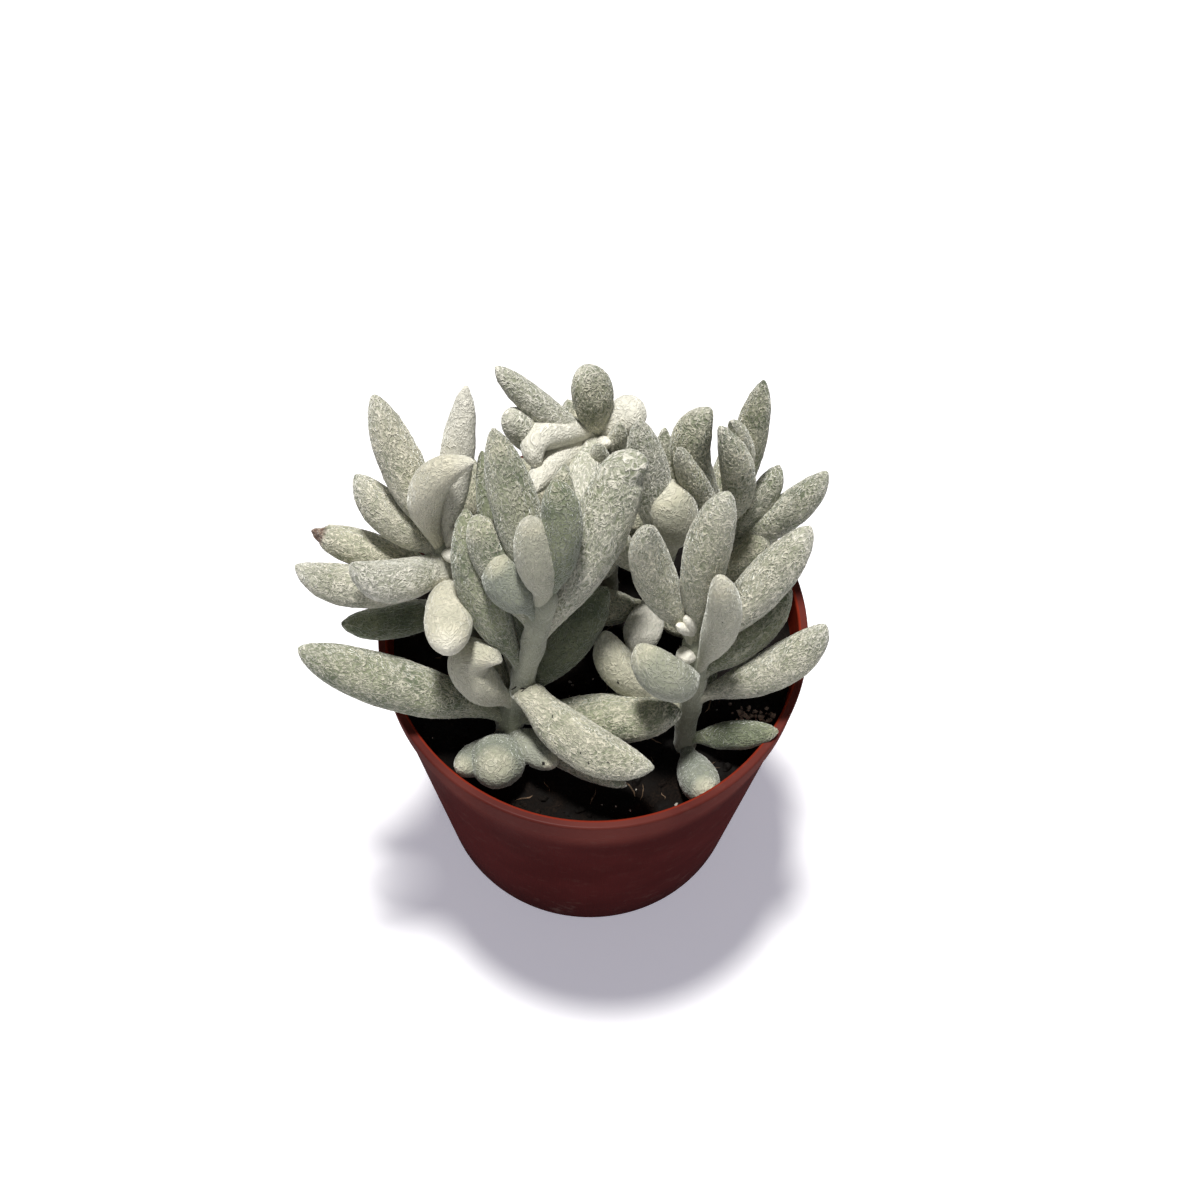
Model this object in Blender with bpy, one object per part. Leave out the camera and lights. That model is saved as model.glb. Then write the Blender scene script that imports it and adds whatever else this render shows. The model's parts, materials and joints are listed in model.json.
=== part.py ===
"""A ghost plant in a thin plastic nursery pot, seen and measured in millimetres.

The plant is a clump of six rooted stems, each carrying plump spindle-shaped leaves.
The pot is filled with potting soil, and every stem stands in a plain hole in it.

The frame is +X to the right, +Y to the back and +Z up, and the origin is the middle
of the pot's underside. The scene is in metres, so every length is scaled by MM.
"""
import math

import bmesh
import bpy
import numpy as np

MM = 0.001
GAP = 0.3                       # clearance between touching pieces

# Pot: radii and heights of the moulding
RIM_RADIUS = 45.0
POT_HEIGHT = 84.0
WALL_FOOT_RADIUS = 34.9         # the tapered wall starts here
WALL_FOOT_HEIGHT = 3.0
WALL_MIDDLE = 40.0
WALL = 1.2
BAND_HEIGHT = 8.5               # the collar that stands proud below the rim
BAND_PROUD = 0.7
BAND_TAPER = 0.6
BAND_STEP = 0.8
LIP_WIDTH = 2.0
LIP_ROUND = 0.5
BASE_ROUND = 2.0
INNER_FILLET = 2.0
FLOOR_TOP = 2.8
UNDERSIDE_RECESS = 1.4
FOOT_INNER_RADIUS = 30.5
PAD_RADIUS = 10.0
RECESS_SLOPE = 0.8
POT_SIDES = 48
DRAIN_HOLES = 8
DRAIN_RING_RADIUS = 20.5
DRAIN_HOLE_RADIUS = 3.5
DRAIN_HOLE_SIDES = 12

# Soil: level, its lumps, and how deep the stems stand in it
SOIL_LEVEL = 76.0
SOIL_LUMP = 0.5
SOIL_EDGE_DROP = 1.2
STEM_HOLE_CLEARANCE = 0.4
STEM_HOLE_SIDES = 16
SOIL_RINGS = (0.2, 0.4, 0.58, 0.75, 0.9, 1.0)
STEM_DEPTH = 14.0
STEM_STRAIGHT = 1.6             # the stem leaves its hole upright before it leans

# Leaf outline: share of the half width at the neck, place of the fullest part, tip power
LEAF_NECK = 0.28
LEAF_FULLEST = 0.57
LEAF_TIP_POWER = 0.72
TIP_RADIUS = 0.12
LEAF_RINGS = (0.0, 0.16, 0.36, 0.57, 0.76, 0.91, 1.0)
YOUNG_RINGS = (0.0, 0.3, 0.6, 0.85, 1.0)
YOUNG_WIDTH = 4.0               # leaves narrower than this are the growing tip's own
LEAF_SIDES = 8
YOUNG_SIDES = 6
STEM_SIDES = 10

# Stems: foot on the soil (x, y), top (x, y), height above the soil, radius
STEMS = {
    "stem_front_left": ((-17.5, -21.5), (-8.8, -13.5), 48, 2.2),
    "stem_front_right": ((19.4, -22.2), (20.8, -11.8), 29, 2.1),
    "stem_left": ((-24.0, 0.0), (-30.0, 1.0), 39, 2.1),
    "stem_back": ((3.0, 14.0), (0.0, 24.0), 45, 2.1),
    "stem_back_right": ((24.0, 8.0), (27.6, 17.0), 31, 2.1),
    "stem_middle": ((10.0, 2.0), (14.7, 8.5), 28, 2.0),
}

# Leaves, each as seen on the plant: height of its root up the stem, the way it heads
# (degrees, anticlockwise from +X), its rise above the level, its length and width, then
# how far it curls up and sways anticlockwise from root to tip (degrees)
LEAVES = {
    "stem_front_left": (
        (44, 115, 51, 38, 9.2, 0, 0),
        (24, 125, 56, 39, 8.2, 0, -30),
        (36, 134, 52, 29, 8.6, 0, 0),
        (46, 119, 74, 25, 7.0, 0, 0),
        (38, 140, 61, 20, 8.2, 50, 0),
        (44, 77, 70, 32, 8.0, 0, 20),
        (32, 53, 50, 42, 9.6, 0, 20),
        (8, 176, 24, 47, 11.0, 6, 0),
        (20, 327, -7, 33, 10.6, 20, 45),
        (8, 355, 12, 35, 9.0, 20, 0),
        (17, 242, 74, 29, 9.4, 30, 75),
        (7, 263, 39, 25, 10.6, 60, 0),
        (6, 237, 34, 22, 7.6, 50, 0),
        (3, 312, 24, 17, 7.0, 0, 0),
        (14, 46, 27, 29, 10.0, 0, 0),
        (28, 108, 38, 42, 7.4, 0, 0),
        (34, 77, 50, 37, 7.5, 0, 0),
        (14, 85, 30, 26, 9.0, 20, 0),
        (10, 130, 20, 18, 8.0, 20, 0),
    ),
    "stem_front_right": (
        (28, 154, 70, 39, 8.8, 40, 0),
        (27, 72, 74, 43, 9.2, 0, 20),
        (20, 31, 85, 38, 7.6, 0, 10),
        (25, 34, 44, 36, 9.2, 0, 0),
        (18, 36, 26, 27, 8.8, 10, 0),
        (13, 13, 33, 34, 9.2, 45, 0),
        (20, 197, 52, 23, 8.8, 0, -90),
        (18, 174, 37, 26, 8.2, 0, -60),
        (3, 356, 30, 21, 6.4, 0, 0),
        (6, 278, 36, 23, 7.2, 50, 0),
        (8, 75, 12, 14, 7.5, 0, 0),
        (27, 150, 50, 9, 3.2, 20, 0),
        (28, 110, 68, 9, 3.0, 0, 0),
        (26, 205, 35, 7, 2.8, 20, 0),
    ),
    "stem_left": (
        (38, 128, 51, 36, 8.8, 0, 0),
        (38, 51, 68, 30, 8.4, -45, -90),
        (35, 154, 32, 25, 8.6, 0, 0),
        (28, 171, 16, 30, 7.6, 0, 0),
        (28, 191, 14, 33, 9.4, 30, 0),
        (33, 205, 31, 22, 10.2, 50, 0),
        (16, 198, 7, 26, 7.6, 0, 0),
        (8, 191, 35, 18, 7.0, 0, 20),
        (24, 268, 27, 22, 10.0, 0, 0),
        (38, 75, 59, 37, 6.6, 0, 0),
        (20, 112, 22, 26, 8.0, 20, 0),
        (26, 85, 24, 26, 8.0, 20, 0),
        (10, 80, 30, 24, 8.0, 20, 0),
        (24, 25, 35, 20, 8.5, 20, 0),
        (10, 350, 5, 20, 8.0, 25, 0),
        (38, 300, 45, 8, 3.0, 0, 0),
        (38, 20, 60, 9, 3.0, 0, 0),
    ),
    "stem_back": (
        (44, 173, 48, 30, 6.8, 0, 0),
        (44, 119, 76, 21, 7.4, 0, 0),
        (42, 20, 66, 15, 7.4, 0, 0),
        (42, 210, 15, 19, 7.0, -40, 110),
        (36, 176, 47, 27, 6.8, 0, 0),
        (44, 270, 34, 22, 8.2, 0, 50),
        (38, 230, 18, 20, 5.6, 0, 30),
        (34, 5, 80, 22, 4.6, 0, 0),
        (28, 249, 82, 25, 5.4, 0, 0),
        (28, 112, 15, 22, 8.0, 25, 0),
        (26, 65, 5, 20, 8.0, 25, 0),
        (18, 150, 15, 26, 8.5, 25, 0),
        (12, 88, 14, 24, 8.5, 25, 0),
        (34, 80, 8, 20, 7.5, 20, 0),
        (22, 0, 15, 18, 8.0, 25, 0),
        (16, 185, 20, 20, 8.5, 25, 0),
        (10, 130, 10, 24, 8.5, 25, 0),
        (10, 60, 10, 20, 8.5, 25, 0),
        (20, 265, 20, 17, 8.0, 20, 0),
        (44, 290, 50, 8, 3.0, 0, 0),
        (44, 30, 60, 8, 3.0, 0, 0),
    ),
    "stem_back_right": (
        (26, 67, 73, 40, 6.8, 0, 0),
        (28, 142, 87, 36, 5.8, -25, 0),
        (26, 186, 85, 38, 7.2, -25, 0),
        (24, 127, 74, 38, 8.0, 0, -45),
        (22, 177, 71, 36, 6.2, 0, 0),
        (20, 29, 60, 25, 6.4, 0, 0),
        (18, 10, 51, 33, 7.8, 10, 0),
        (14, 351, 69, 19, 6.6, 0, 0),
        (18, 85, 30, 24, 7.5, 25, 0),
        (10, 45, 15, 20, 7.5, 25, 0),
        (10, 100, 10, 20, 8.0, 25, 0),
        (6, 310, 12, 18, 7.5, 25, 0),
        (8, 0, 15, 17, 7.5, 25, 0),
    ),
    "stem_middle": (
        (26, 126, 71, 38, 8.4, 0, 0),
        (22, 134, 85, 29, 8.6, -50, 0),
        (13, 265, 13, 18, 8.4, 0, 0),
        (22, 156, 58, 31, 6.0, 0, -80),
        (20, 92, 64, 36, 5.6, 0, 0),
        (8, 345, 15, 15, 7.5, 25, 0),
        (10, 190, 20, 20, 8.0, 20, 0),
    ),
}

POT_COLOUR = (0.115, 0.030, 0.022, 1.0)
SOIL_COLOUR = (0.012, 0.009, 0.007, 1.0)
LEAF_COLOUR = (0.46, 0.50, 0.42, 1.0)


def clear_scene():
    """Empty the scene that Blender opens with."""
    for old in list(bpy.data.objects):
        bpy.data.objects.remove(old, do_unlink=True)


def plain_material(name, colour, roughness):
    """One Principled material with the piece's own colour and finish."""
    material = bpy.data.materials.new(name)
    material.use_nodes = True
    shader = material.node_tree.nodes["Principled BSDF"]
    shader.inputs["Base Color"].default_value = colour
    shader.inputs["Roughness"].default_value = roughness
    return material


def add_object(name, mesh, material):
    """Link a mesh into the scene, smooth over its gentle edges."""
    thing = bpy.data.objects.new(name, mesh)
    bpy.context.scene.collection.objects.link(thing)
    mesh.materials.clear()
    mesh.materials.append(material)
    mesh.shade_smooth()
    mesh.set_sharp_from_angle(angle=math.radians(40))
    return thing


def turned_mesh(name, profile, sides):
    """Spin a closed profile of (radius, height) points about Z."""
    shape = bmesh.new()
    points = [shape.verts.new((r * MM, 0.0, z * MM)) for r, z in profile]
    edges = [shape.edges.new(pair) for pair in zip(points, points[1:])]
    bmesh.ops.spin(
        shape, geom=points + edges, cent=(0, 0, 0), axis=(0, 0, 1), dvec=(0, 0, 0),
        angle=math.tau, steps=sides, use_merge=True, use_duplicate=False)
    bmesh.ops.remove_doubles(shape, verts=shape.verts, dist=0.00001)
    bmesh.ops.recalc_face_normals(shape, faces=shape.faces)
    mesh = bpy.data.meshes.new(name)
    shape.to_mesh(mesh)
    shape.free()
    return mesh


def cylinder_cutter(name, radius, low, high, x, y, sides):
    """A plain round cutter, kept out of the model."""
    shape = bmesh.new()
    bmesh.ops.create_cone(
        shape, cap_ends=True, segments=sides, radius1=radius * MM, radius2=radius * MM,
        depth=(high - low) * MM)
    mesh = bpy.data.meshes.new(name)
    shape.to_mesh(mesh)
    shape.free()
    cutter = bpy.data.objects.new(name, mesh)
    bpy.context.scene.collection.objects.link(cutter)
    cutter.location = (x * MM, y * MM, 0.5 * (low + high) * MM)
    return cutter


def join_by_boolean(target, others, operation):
    """Unite or cut a target with a whole collection at once, then drop the collection."""
    group = bpy.data.collections.new(target.name + "_tools")
    bpy.context.scene.collection.children.link(group)
    for other in others:
        bpy.context.scene.collection.objects.unlink(other)
        group.objects.link(other)
    boolean = target.modifiers.new("boolean", "BOOLEAN")
    boolean.operation = operation
    boolean.solver = "EXACT"
    boolean.operand_type = "COLLECTION"
    boolean.collection = group
    bpy.context.view_layer.objects.active = target
    bpy.ops.object.modifier_apply(modifier=boolean.name)
    for other in others:
        bpy.data.objects.remove(other, do_unlink=True)
    bpy.data.collections.remove(group)


def wall_radius(height):
    """The pot's plain outer wall at a height, below the collar."""
    band_foot = POT_HEIGHT - BAND_HEIGHT
    top_radius = RIM_RADIUS - BAND_TAPER - BAND_PROUD
    share = (height - WALL_FOOT_HEIGHT) / (band_foot - WALL_FOOT_HEIGHT)
    return WALL_FOOT_RADIUS + (top_radius - WALL_FOOT_RADIUS) * share


def arc(radius, centre_r, centre_z, start, end, steps):
    """Points of a rounded corner, angles in degrees."""
    angles = [math.radians(start + (end - start) * k / steps) for k in range(steps + 1)]
    return [(centre_r + radius * math.cos(a), centre_z + radius * math.sin(a)) for a in angles]


def build_pot():
    """The moulded pot: tapered wall, proud collar, foot ring, centre pad, drain holes."""
    band_foot = POT_HEIGHT - BAND_HEIGHT
    lip_inner = RIM_RADIUS - LIP_WIDTH
    inner_foot = FLOOR_TOP + INNER_FILLET
    profile = [(0.0, FLOOR_TOP), (wall_radius(FLOOR_TOP) - WALL - INNER_FILLET, FLOOR_TOP)]
    profile += [(wall_radius(inner_foot) - WALL, inner_foot)]
    profile += [(wall_radius(band_foot) - WALL, band_foot)]
    profile += arc(LIP_ROUND, lip_inner + LIP_ROUND, POT_HEIGHT - LIP_ROUND, 180, 90, 2)
    profile += arc(LIP_ROUND, RIM_RADIUS - LIP_ROUND, POT_HEIGHT - LIP_ROUND, 90, 0, 2)
    profile += [(RIM_RADIUS - BAND_TAPER, band_foot + BAND_STEP)]
    profile += [(RIM_RADIUS - BAND_TAPER - BAND_PROUD, band_foot)]
    profile += [(wall_radius(WALL_MIDDLE), WALL_MIDDLE)]
    round_centre = wall_radius(BASE_ROUND) - BASE_ROUND
    profile += arc(BASE_ROUND, round_centre, BASE_ROUND, 0, -90, 3)
    profile += [(FOOT_INNER_RADIUS, 0.0)]
    profile += [(FOOT_INNER_RADIUS - RECESS_SLOPE, UNDERSIDE_RECESS)]
    profile += [(PAD_RADIUS + RECESS_SLOPE, UNDERSIDE_RECESS), (PAD_RADIUS, 0.0), (0.0, 0.0)]
    mesh = turned_mesh("pot", profile, POT_SIDES)
    pot = add_object("pot", mesh, plain_material("pot", POT_COLOUR, 0.35))
    drills = []
    for k in range(DRAIN_HOLES):
        turn = math.tau * (k + 0.5) / DRAIN_HOLES
        x = DRAIN_RING_RADIUS * math.cos(turn)
        y = DRAIN_RING_RADIUS * math.sin(turn)
        drills.append(cylinder_cutter(
            "drain_%d" % k, DRAIN_HOLE_RADIUS, -FLOOR_TOP, 2 * FLOOR_TOP, x, y, DRAIN_HOLE_SIDES))
    join_by_boolean(pot, drills, "DIFFERENCE")


def soil_height(x, y, share):
    """Lumpy surface, lowest where the soil meets the wall."""
    lump = math.sin(0.31 * x + 0.7) * math.cos(0.27 * y - 0.4)
    lump += 0.6 * math.sin(0.23 * x - 0.35 * y)
    return SOIL_LEVEL + SOIL_LUMP * lump - SOIL_EDGE_DROP * share ** 6


def build_soil():
    """The plug of potting soil, with a plain hole for every stem."""
    foot = FLOOR_TOP + GAP
    inner_foot = FLOOR_TOP + INNER_FILLET
    top = SOIL_LEVEL - SOIL_EDGE_DROP
    edge = wall_radius(top) - WALL - GAP
    profile = [(0.0, foot), (wall_radius(FLOOR_TOP) - WALL - INNER_FILLET - GAP, foot)]
    profile += [(wall_radius(inner_foot) - WALL - GAP, inner_foot)]
    profile += [(edge * share, top) for share in reversed(SOIL_RINGS)]
    profile += [(0.0, top)]
    mesh = turned_mesh("soil", profile, POT_SIDES)
    for vertex in mesh.vertices:
        x, y, z = vertex.co / MM
        if z > top - GAP:
            share = math.hypot(x, y) / edge
            vertex.co.z = soil_height(x, y, share) * MM
    soil = add_object("soil", mesh, plain_material("soil", SOIL_COLOUR, 0.95))
    drills = []
    for name, (foot_xy, _, _, radius) in STEMS.items():
        low = SOIL_LEVEL - STEM_DEPTH - GAP
        drills.append(cylinder_cutter(
            name + "_hole", radius + STEM_HOLE_CLEARANCE, low, POT_HEIGHT, *foot_xy,
            STEM_HOLE_SIDES))
    join_by_boolean(soil, drills, "DIFFERENCE")


def stem_point(name, up):
    """A point on a stem's centreline, at a height above the soil."""
    (x0, y0), (x1, y1), height, _ = STEMS[name]
    share = max(up, 0.0) / height
    return np.array((x0 + (x1 - x0) * share, y0 + (y1 - y0) * share, SOIL_LEVEL + up))


def tube(name, points, radii, sides):
    """A round, closed tube through points, in millimetres, as a mesh object."""
    curve = bpy.data.curves.new(name, "CURVE")
    curve.dimensions = "3D"
    curve.bevel_depth = MM
    curve.bevel_resolution = (sides - 4) // 2
    curve.use_fill_caps = True
    spline = curve.splines.new("POLY")
    spline.points.add(len(points) - 1)
    for node, point, radius in zip(spline.points, points, radii):
        node.co = (*(np.array(point) * MM), 1.0)
        node.radius = radius
    guide = bpy.data.objects.new(name, curve)
    bpy.context.scene.collection.objects.link(guide)
    mesh = bpy.data.meshes.new_from_object(guide)
    bpy.data.objects.remove(guide, do_unlink=True)
    bpy.data.curves.remove(curve)
    shape = bmesh.new()
    shape.from_mesh(mesh)
    bmesh.ops.remove_doubles(shape, verts=shape.verts, dist=0.000001)
    bmesh.ops.recalc_face_normals(shape, faces=shape.faces)
    shape.to_mesh(mesh)
    shape.free()
    mesh.name = name
    thing = bpy.data.objects.new(name, mesh)
    bpy.context.scene.collection.objects.link(thing)
    return thing


def leaf_radius(share, width):
    """Half width of a leaf at a share of its length: a narrow neck, then a full spindle."""
    swell = (1 / (1 - LEAF_FULLEST) ** LEAF_TIP_POWER - LEAF_NECK) / LEAF_FULLEST
    outline = (1 - share) ** LEAF_TIP_POWER * (LEAF_NECK + swell * share)
    return max(0.5 * width * outline, TIP_RADIUS)


def leaf_spine(root, heading, rise, length, curl, sway, shares):
    """The leaf's centreline: a chord from its root, bowed into an arc of the total bend."""
    h = math.radians(heading)
    e = math.radians(rise)
    ahead = np.array((math.cos(e) * math.cos(h), math.cos(e) * math.sin(h), math.sin(e)))
    above = np.array((-math.sin(e) * math.cos(h), -math.sin(e) * math.sin(h), math.cos(e)))
    beside = np.array((-math.sin(h), math.cos(h), 0.0))
    bend = math.radians(math.hypot(curl, sway))
    if bend < 0.001:
        return [root + length * share * ahead for share in shares]
    outward = (curl * above + sway * beside) / math.hypot(curl, sway)
    spine = []
    for share in shares:
        along = length * (math.sin(bend * (share - 0.5)) + math.sin(bend / 2)) / bend
        bow = length * (math.cos(bend / 2) - math.cos(bend * (share - 0.5))) / bend
        spine.append(root + along * ahead + bow * outward)
    return spine


def add_leaf(stem, number, leaf):
    """One spindle leaf, its neck sunk to the middle of the stem."""
    up, heading, rise, length, width, curl, sway = leaf
    young = width < YOUNG_WIDTH
    shares = YOUNG_RINGS if young else LEAF_RINGS
    spine = leaf_spine(stem_point(stem, up), heading, rise, length, curl, sway, shares)
    radii = [leaf_radius(share, width) for share in shares]
    return tube("%s_leaf_%d" % (stem, number), spine, radii, YOUNG_SIDES if young else LEAF_SIDES)


def build_stem(name, material):
    """A rooted stem with its leaves grown on, as one body."""
    (x, y), _, height, radius = STEMS[name]
    line = [(x, y, SOIL_LEVEL - STEM_DEPTH), (x, y, SOIL_LEVEL + STEM_STRAIGHT)]
    line += [stem_point(name, height * share) for share in (0.2, 0.4, 0.6, 0.8, 0.95)]
    line += [stem_point(name, height + 1.5)]
    radii = [radius, radius, radius, radius, radius, 0.95 * radius, 0.85 * radius, 0.3 * radius]
    stem = tube(name, line, radii, STEM_SIDES)
    leaves = [add_leaf(name, number, leaf) for number, leaf in enumerate(LEAVES[name])]
    join_by_boolean(stem, leaves, "UNION")
    stem.data.materials.clear()
    stem.data.materials.append(material)
    stem.data.shade_smooth()
    stem.data.set_sharp_from_angle(angle=math.radians(50))


clear_scene()
build_pot()
build_soil()
for stem_name in STEMS:
    build_stem(stem_name, plain_material(stem_name, LEAF_COLOUR, 0.85))
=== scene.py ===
import json
import math

import bpy
import numpy as np
from mathutils import Matrix, Vector
from mathutils.noise import noise as lumps_at

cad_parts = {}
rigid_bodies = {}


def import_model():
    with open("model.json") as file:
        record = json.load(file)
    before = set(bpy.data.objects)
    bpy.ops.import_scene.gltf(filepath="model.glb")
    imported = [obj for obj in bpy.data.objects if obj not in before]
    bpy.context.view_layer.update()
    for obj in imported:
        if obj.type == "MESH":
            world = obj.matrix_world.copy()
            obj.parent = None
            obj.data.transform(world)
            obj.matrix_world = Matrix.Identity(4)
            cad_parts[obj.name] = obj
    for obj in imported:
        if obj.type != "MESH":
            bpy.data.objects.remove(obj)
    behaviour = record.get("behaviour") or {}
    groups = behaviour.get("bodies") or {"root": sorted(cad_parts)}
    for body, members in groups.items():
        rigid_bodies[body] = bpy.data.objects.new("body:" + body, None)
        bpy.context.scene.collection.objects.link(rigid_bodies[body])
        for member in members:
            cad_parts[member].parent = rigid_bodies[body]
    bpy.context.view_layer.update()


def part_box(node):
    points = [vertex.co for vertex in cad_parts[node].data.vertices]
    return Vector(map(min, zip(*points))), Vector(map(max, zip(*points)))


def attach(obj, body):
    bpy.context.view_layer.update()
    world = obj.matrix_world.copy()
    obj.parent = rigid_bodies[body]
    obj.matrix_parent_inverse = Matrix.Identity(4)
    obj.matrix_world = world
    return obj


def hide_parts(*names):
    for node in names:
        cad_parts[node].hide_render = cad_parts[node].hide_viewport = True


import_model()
bpy.ops.object.select_all(action="DESELECT")

# View: the plant is seen from in front and well above, as one looks down at a pot on a table.
# The camera aims a little past the middle of the rim, and it is held with a slight roll.
MM = 0.001
RIM_CENTRE = Vector((0, 0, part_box("pot")[1].z))
VIEW_DISTANCE = 450 * MM
VIEW_HEIGHT_ANGLE = 63.2
VIEW_DIP = 62.45
VIEW_YAW = 0.33
VIEW_ROLL = 1.86
LENS = 64.56                    # on the camera's 36 mm wide sensor

bpy.ops.object.camera_add()
camera = bpy.context.object
camera.name = "camera"
camera.data.lens = LENS
camera.data.clip_start = 10 * MM
rise = math.radians(VIEW_HEIGHT_ANGLE)
camera.location = RIM_CENTRE + VIEW_DISTANCE * Vector((0, -math.cos(rise), math.sin(rise)))
camera.rotation_euler = (
    Matrix.Rotation(math.radians(-VIEW_YAW), 3, "Z")
    @ Matrix.Rotation(math.radians(90 - VIEW_DIP), 3, "X")
    @ Matrix.Rotation(math.radians(VIEW_ROLL), 3, "Z")).to_euler()
bpy.context.scene.camera = camera
bpy.context.view_layer.update()


# Pot: one thin moulding in terracotta-brown plastic, injection moulded, with a proud collar below its rim.
# It stands on a foot ring and a middle pad, and eight drain holes go through its floor.
WALL = 1.2 * MM
WALL_FOOT_RADIUS = 34.9 * MM
WALL_FOOT_HEIGHT = 3 * MM
COLLAR_HEIGHT = 8.5 * MM
COLLAR_PROUD = 0.7 * MM
COLLAR_TAPER = 0.6 * MM
COLLAR_STEP = 0.8 * MM
LIP_WIDTH = 2 * MM
LIP_ROUND = 0.5 * MM
BASE_ROUND = 2 * MM
INNER_FILLET = 2 * MM
WALL_LEVELS = (60 * MM, 40 * MM, 20 * MM)
COLLAR_UNDERCUT = ((0.15, 1.0), (0.8, 0.3), (1.0, 0.0))     # shares of how proud it is and of its step
FLOOR_TOP = 2.8 * MM
SOIL_LEVEL = 76 * MM
UNDERSIDE_RECESS = 1.4 * MM
FOOT_INNER_RADIUS = 30.5 * MM
PAD_RADIUS = 10 * MM
RECESS_SLOPE = 0.8 * MM
POT_SIDES = 144
DRAIN_HOLES = 8
DRAIN_RING_RADIUS = 20.5 * MM
DRAIN_HOLE_RADIUS = 3.5 * MM
DRAIN_HOLE_SIDES = 32
WELD_DISTANCE = 0.002 * MM
RIM_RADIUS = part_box("pot")[1].x
POT_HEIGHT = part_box("pot")[1].z
# Two colours of the one plastic: the darker outside is painted shade, the brighter inside is painted light
POT_OUTSIDE_SHADED = (0.052, 0.0068, 0.0062, 1)
# The collar's pale colour is a painted sheen
POT_COLLAR_SHEEN = (0.120, 0.0270, 0.0215, 1)
POT_INSIDE_LIT = (0.195, 0.0220, 0.0105, 1)
POT_DUST = (0.30, 0.22, 0.18, 1)
OUTSIDE_ROUGHNESS = 0.36
INSIDE_ROUGHNESS = 0.42
DUST_HEIGHT = 30 * MM           # the dust thins out up to here
DUST_COVER = 0.12
DUST_HIGH_UP = 0.35
SHEEN_FADE_LENGTH = 9 * MM          # the painted sheen fades in below the collar over this
STREAK_DRAWN_OUT = 0.08         # the painted sheen's streaks run up and down, far longer than they are wide
SCUFF_DULLNESS = 0.16
PLASTIC_GRAIN = 0.05 * MM
POT_CREASE = math.radians(40)
MIX_SOCKETS = (0, 6, 7)         # on a Mix node for colours: the share and the two colours
MIX_RESULT = 2


def settle_order(mesh, outline, sides):
    """Rebuild a turned mesh with its points and faces in a set order, which the spin leaves to chance."""
    rings = np.array(outline, dtype=float)
    points = np.array([vertex.co for vertex in mesh.vertices])
    reach = np.hypot(points[:, 0], points[:, 1])
    ring = np.hypot(reach[:, None] - rings[:, 0], points[:, 2:] - rings[:, 1]).argmin(axis=1)
    turn = np.rint(np.arctan2(points[:, 1], points[:, 0]) / math.tau * sides).astype(int) % sides
    turn[rings[ring, 0] == 0] = 0
    order = np.lexsort((turn, ring))
    rank = np.argsort(order)
    radius, height = rings[ring[order]].T
    angle = turn[order] * math.tau / sides
    faces = []
    for face in mesh.polygons:
        corners = [int(rank[corner]) for corner in face.vertices]
        second = corners.index(min(corners)) + 1
        faces.append(corners[second:] + corners[:second])
    mesh.clear_geometry()
    places = np.stack([radius * np.cos(angle), radius * np.sin(angle), height], axis=1)
    mesh.from_pydata(places, [], sorted(faces))


def turn_outline(name, outline, sides):
    """Draw an outline of (radius, height) points in edit mode and spin it once about the upright axis."""
    bpy.ops.mesh.primitive_plane_add(size=1, location=(0, 0, 0))
    turned = bpy.context.object
    turned.name = turned.data.name = name
    bpy.ops.object.mode_set(mode="EDIT")
    bpy.ops.mesh.select_all(action="SELECT")
    bpy.ops.mesh.merge(type="CENTER")
    bpy.ops.transform.translate(value=(outline[0][0], 0, outline[0][1]))
    for (r0, z0), (r1, z1) in zip(outline, outline[1:]):
        bpy.ops.mesh.extrude_region_move(TRANSFORM_OT_translate={"value": (r1 - r0, 0, z1 - z0)})
    bpy.ops.mesh.select_all(action="SELECT")
    bpy.ops.mesh.spin(steps=sides, angle=math.tau, center=(0, 0, 0), axis=(0, 0, 1))
    bpy.ops.mesh.select_all(action="SELECT")
    bpy.ops.mesh.remove_doubles(threshold=WELD_DISTANCE)
    bpy.ops.mesh.normals_make_consistent(inside=False)
    bpy.ops.object.mode_set(mode="OBJECT")
    settle_order(turned.data, outline, sides)
    return turned


def rounded(radius, centre, start, end, steps):
    """Points along an arc, with its angles in degrees."""
    turns = [math.radians(start + (end - start) * k / steps) for k in range(steps + 1)]
    return [(centre[0] + radius * math.cos(t), centre[1] + radius * math.sin(t)) for t in turns]


def wall_radius(height):
    """The outer wall's radius at a height below the collar."""
    collar_foot = POT_HEIGHT - COLLAR_HEIGHT
    top = RIM_RADIUS - COLLAR_TAPER - COLLAR_PROUD
    share = (height - WALL_FOOT_HEIGHT) / (collar_foot - WALL_FOOT_HEIGHT)
    return WALL_FOOT_RADIUS + (top - WALL_FOOT_RADIUS) * share


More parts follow.
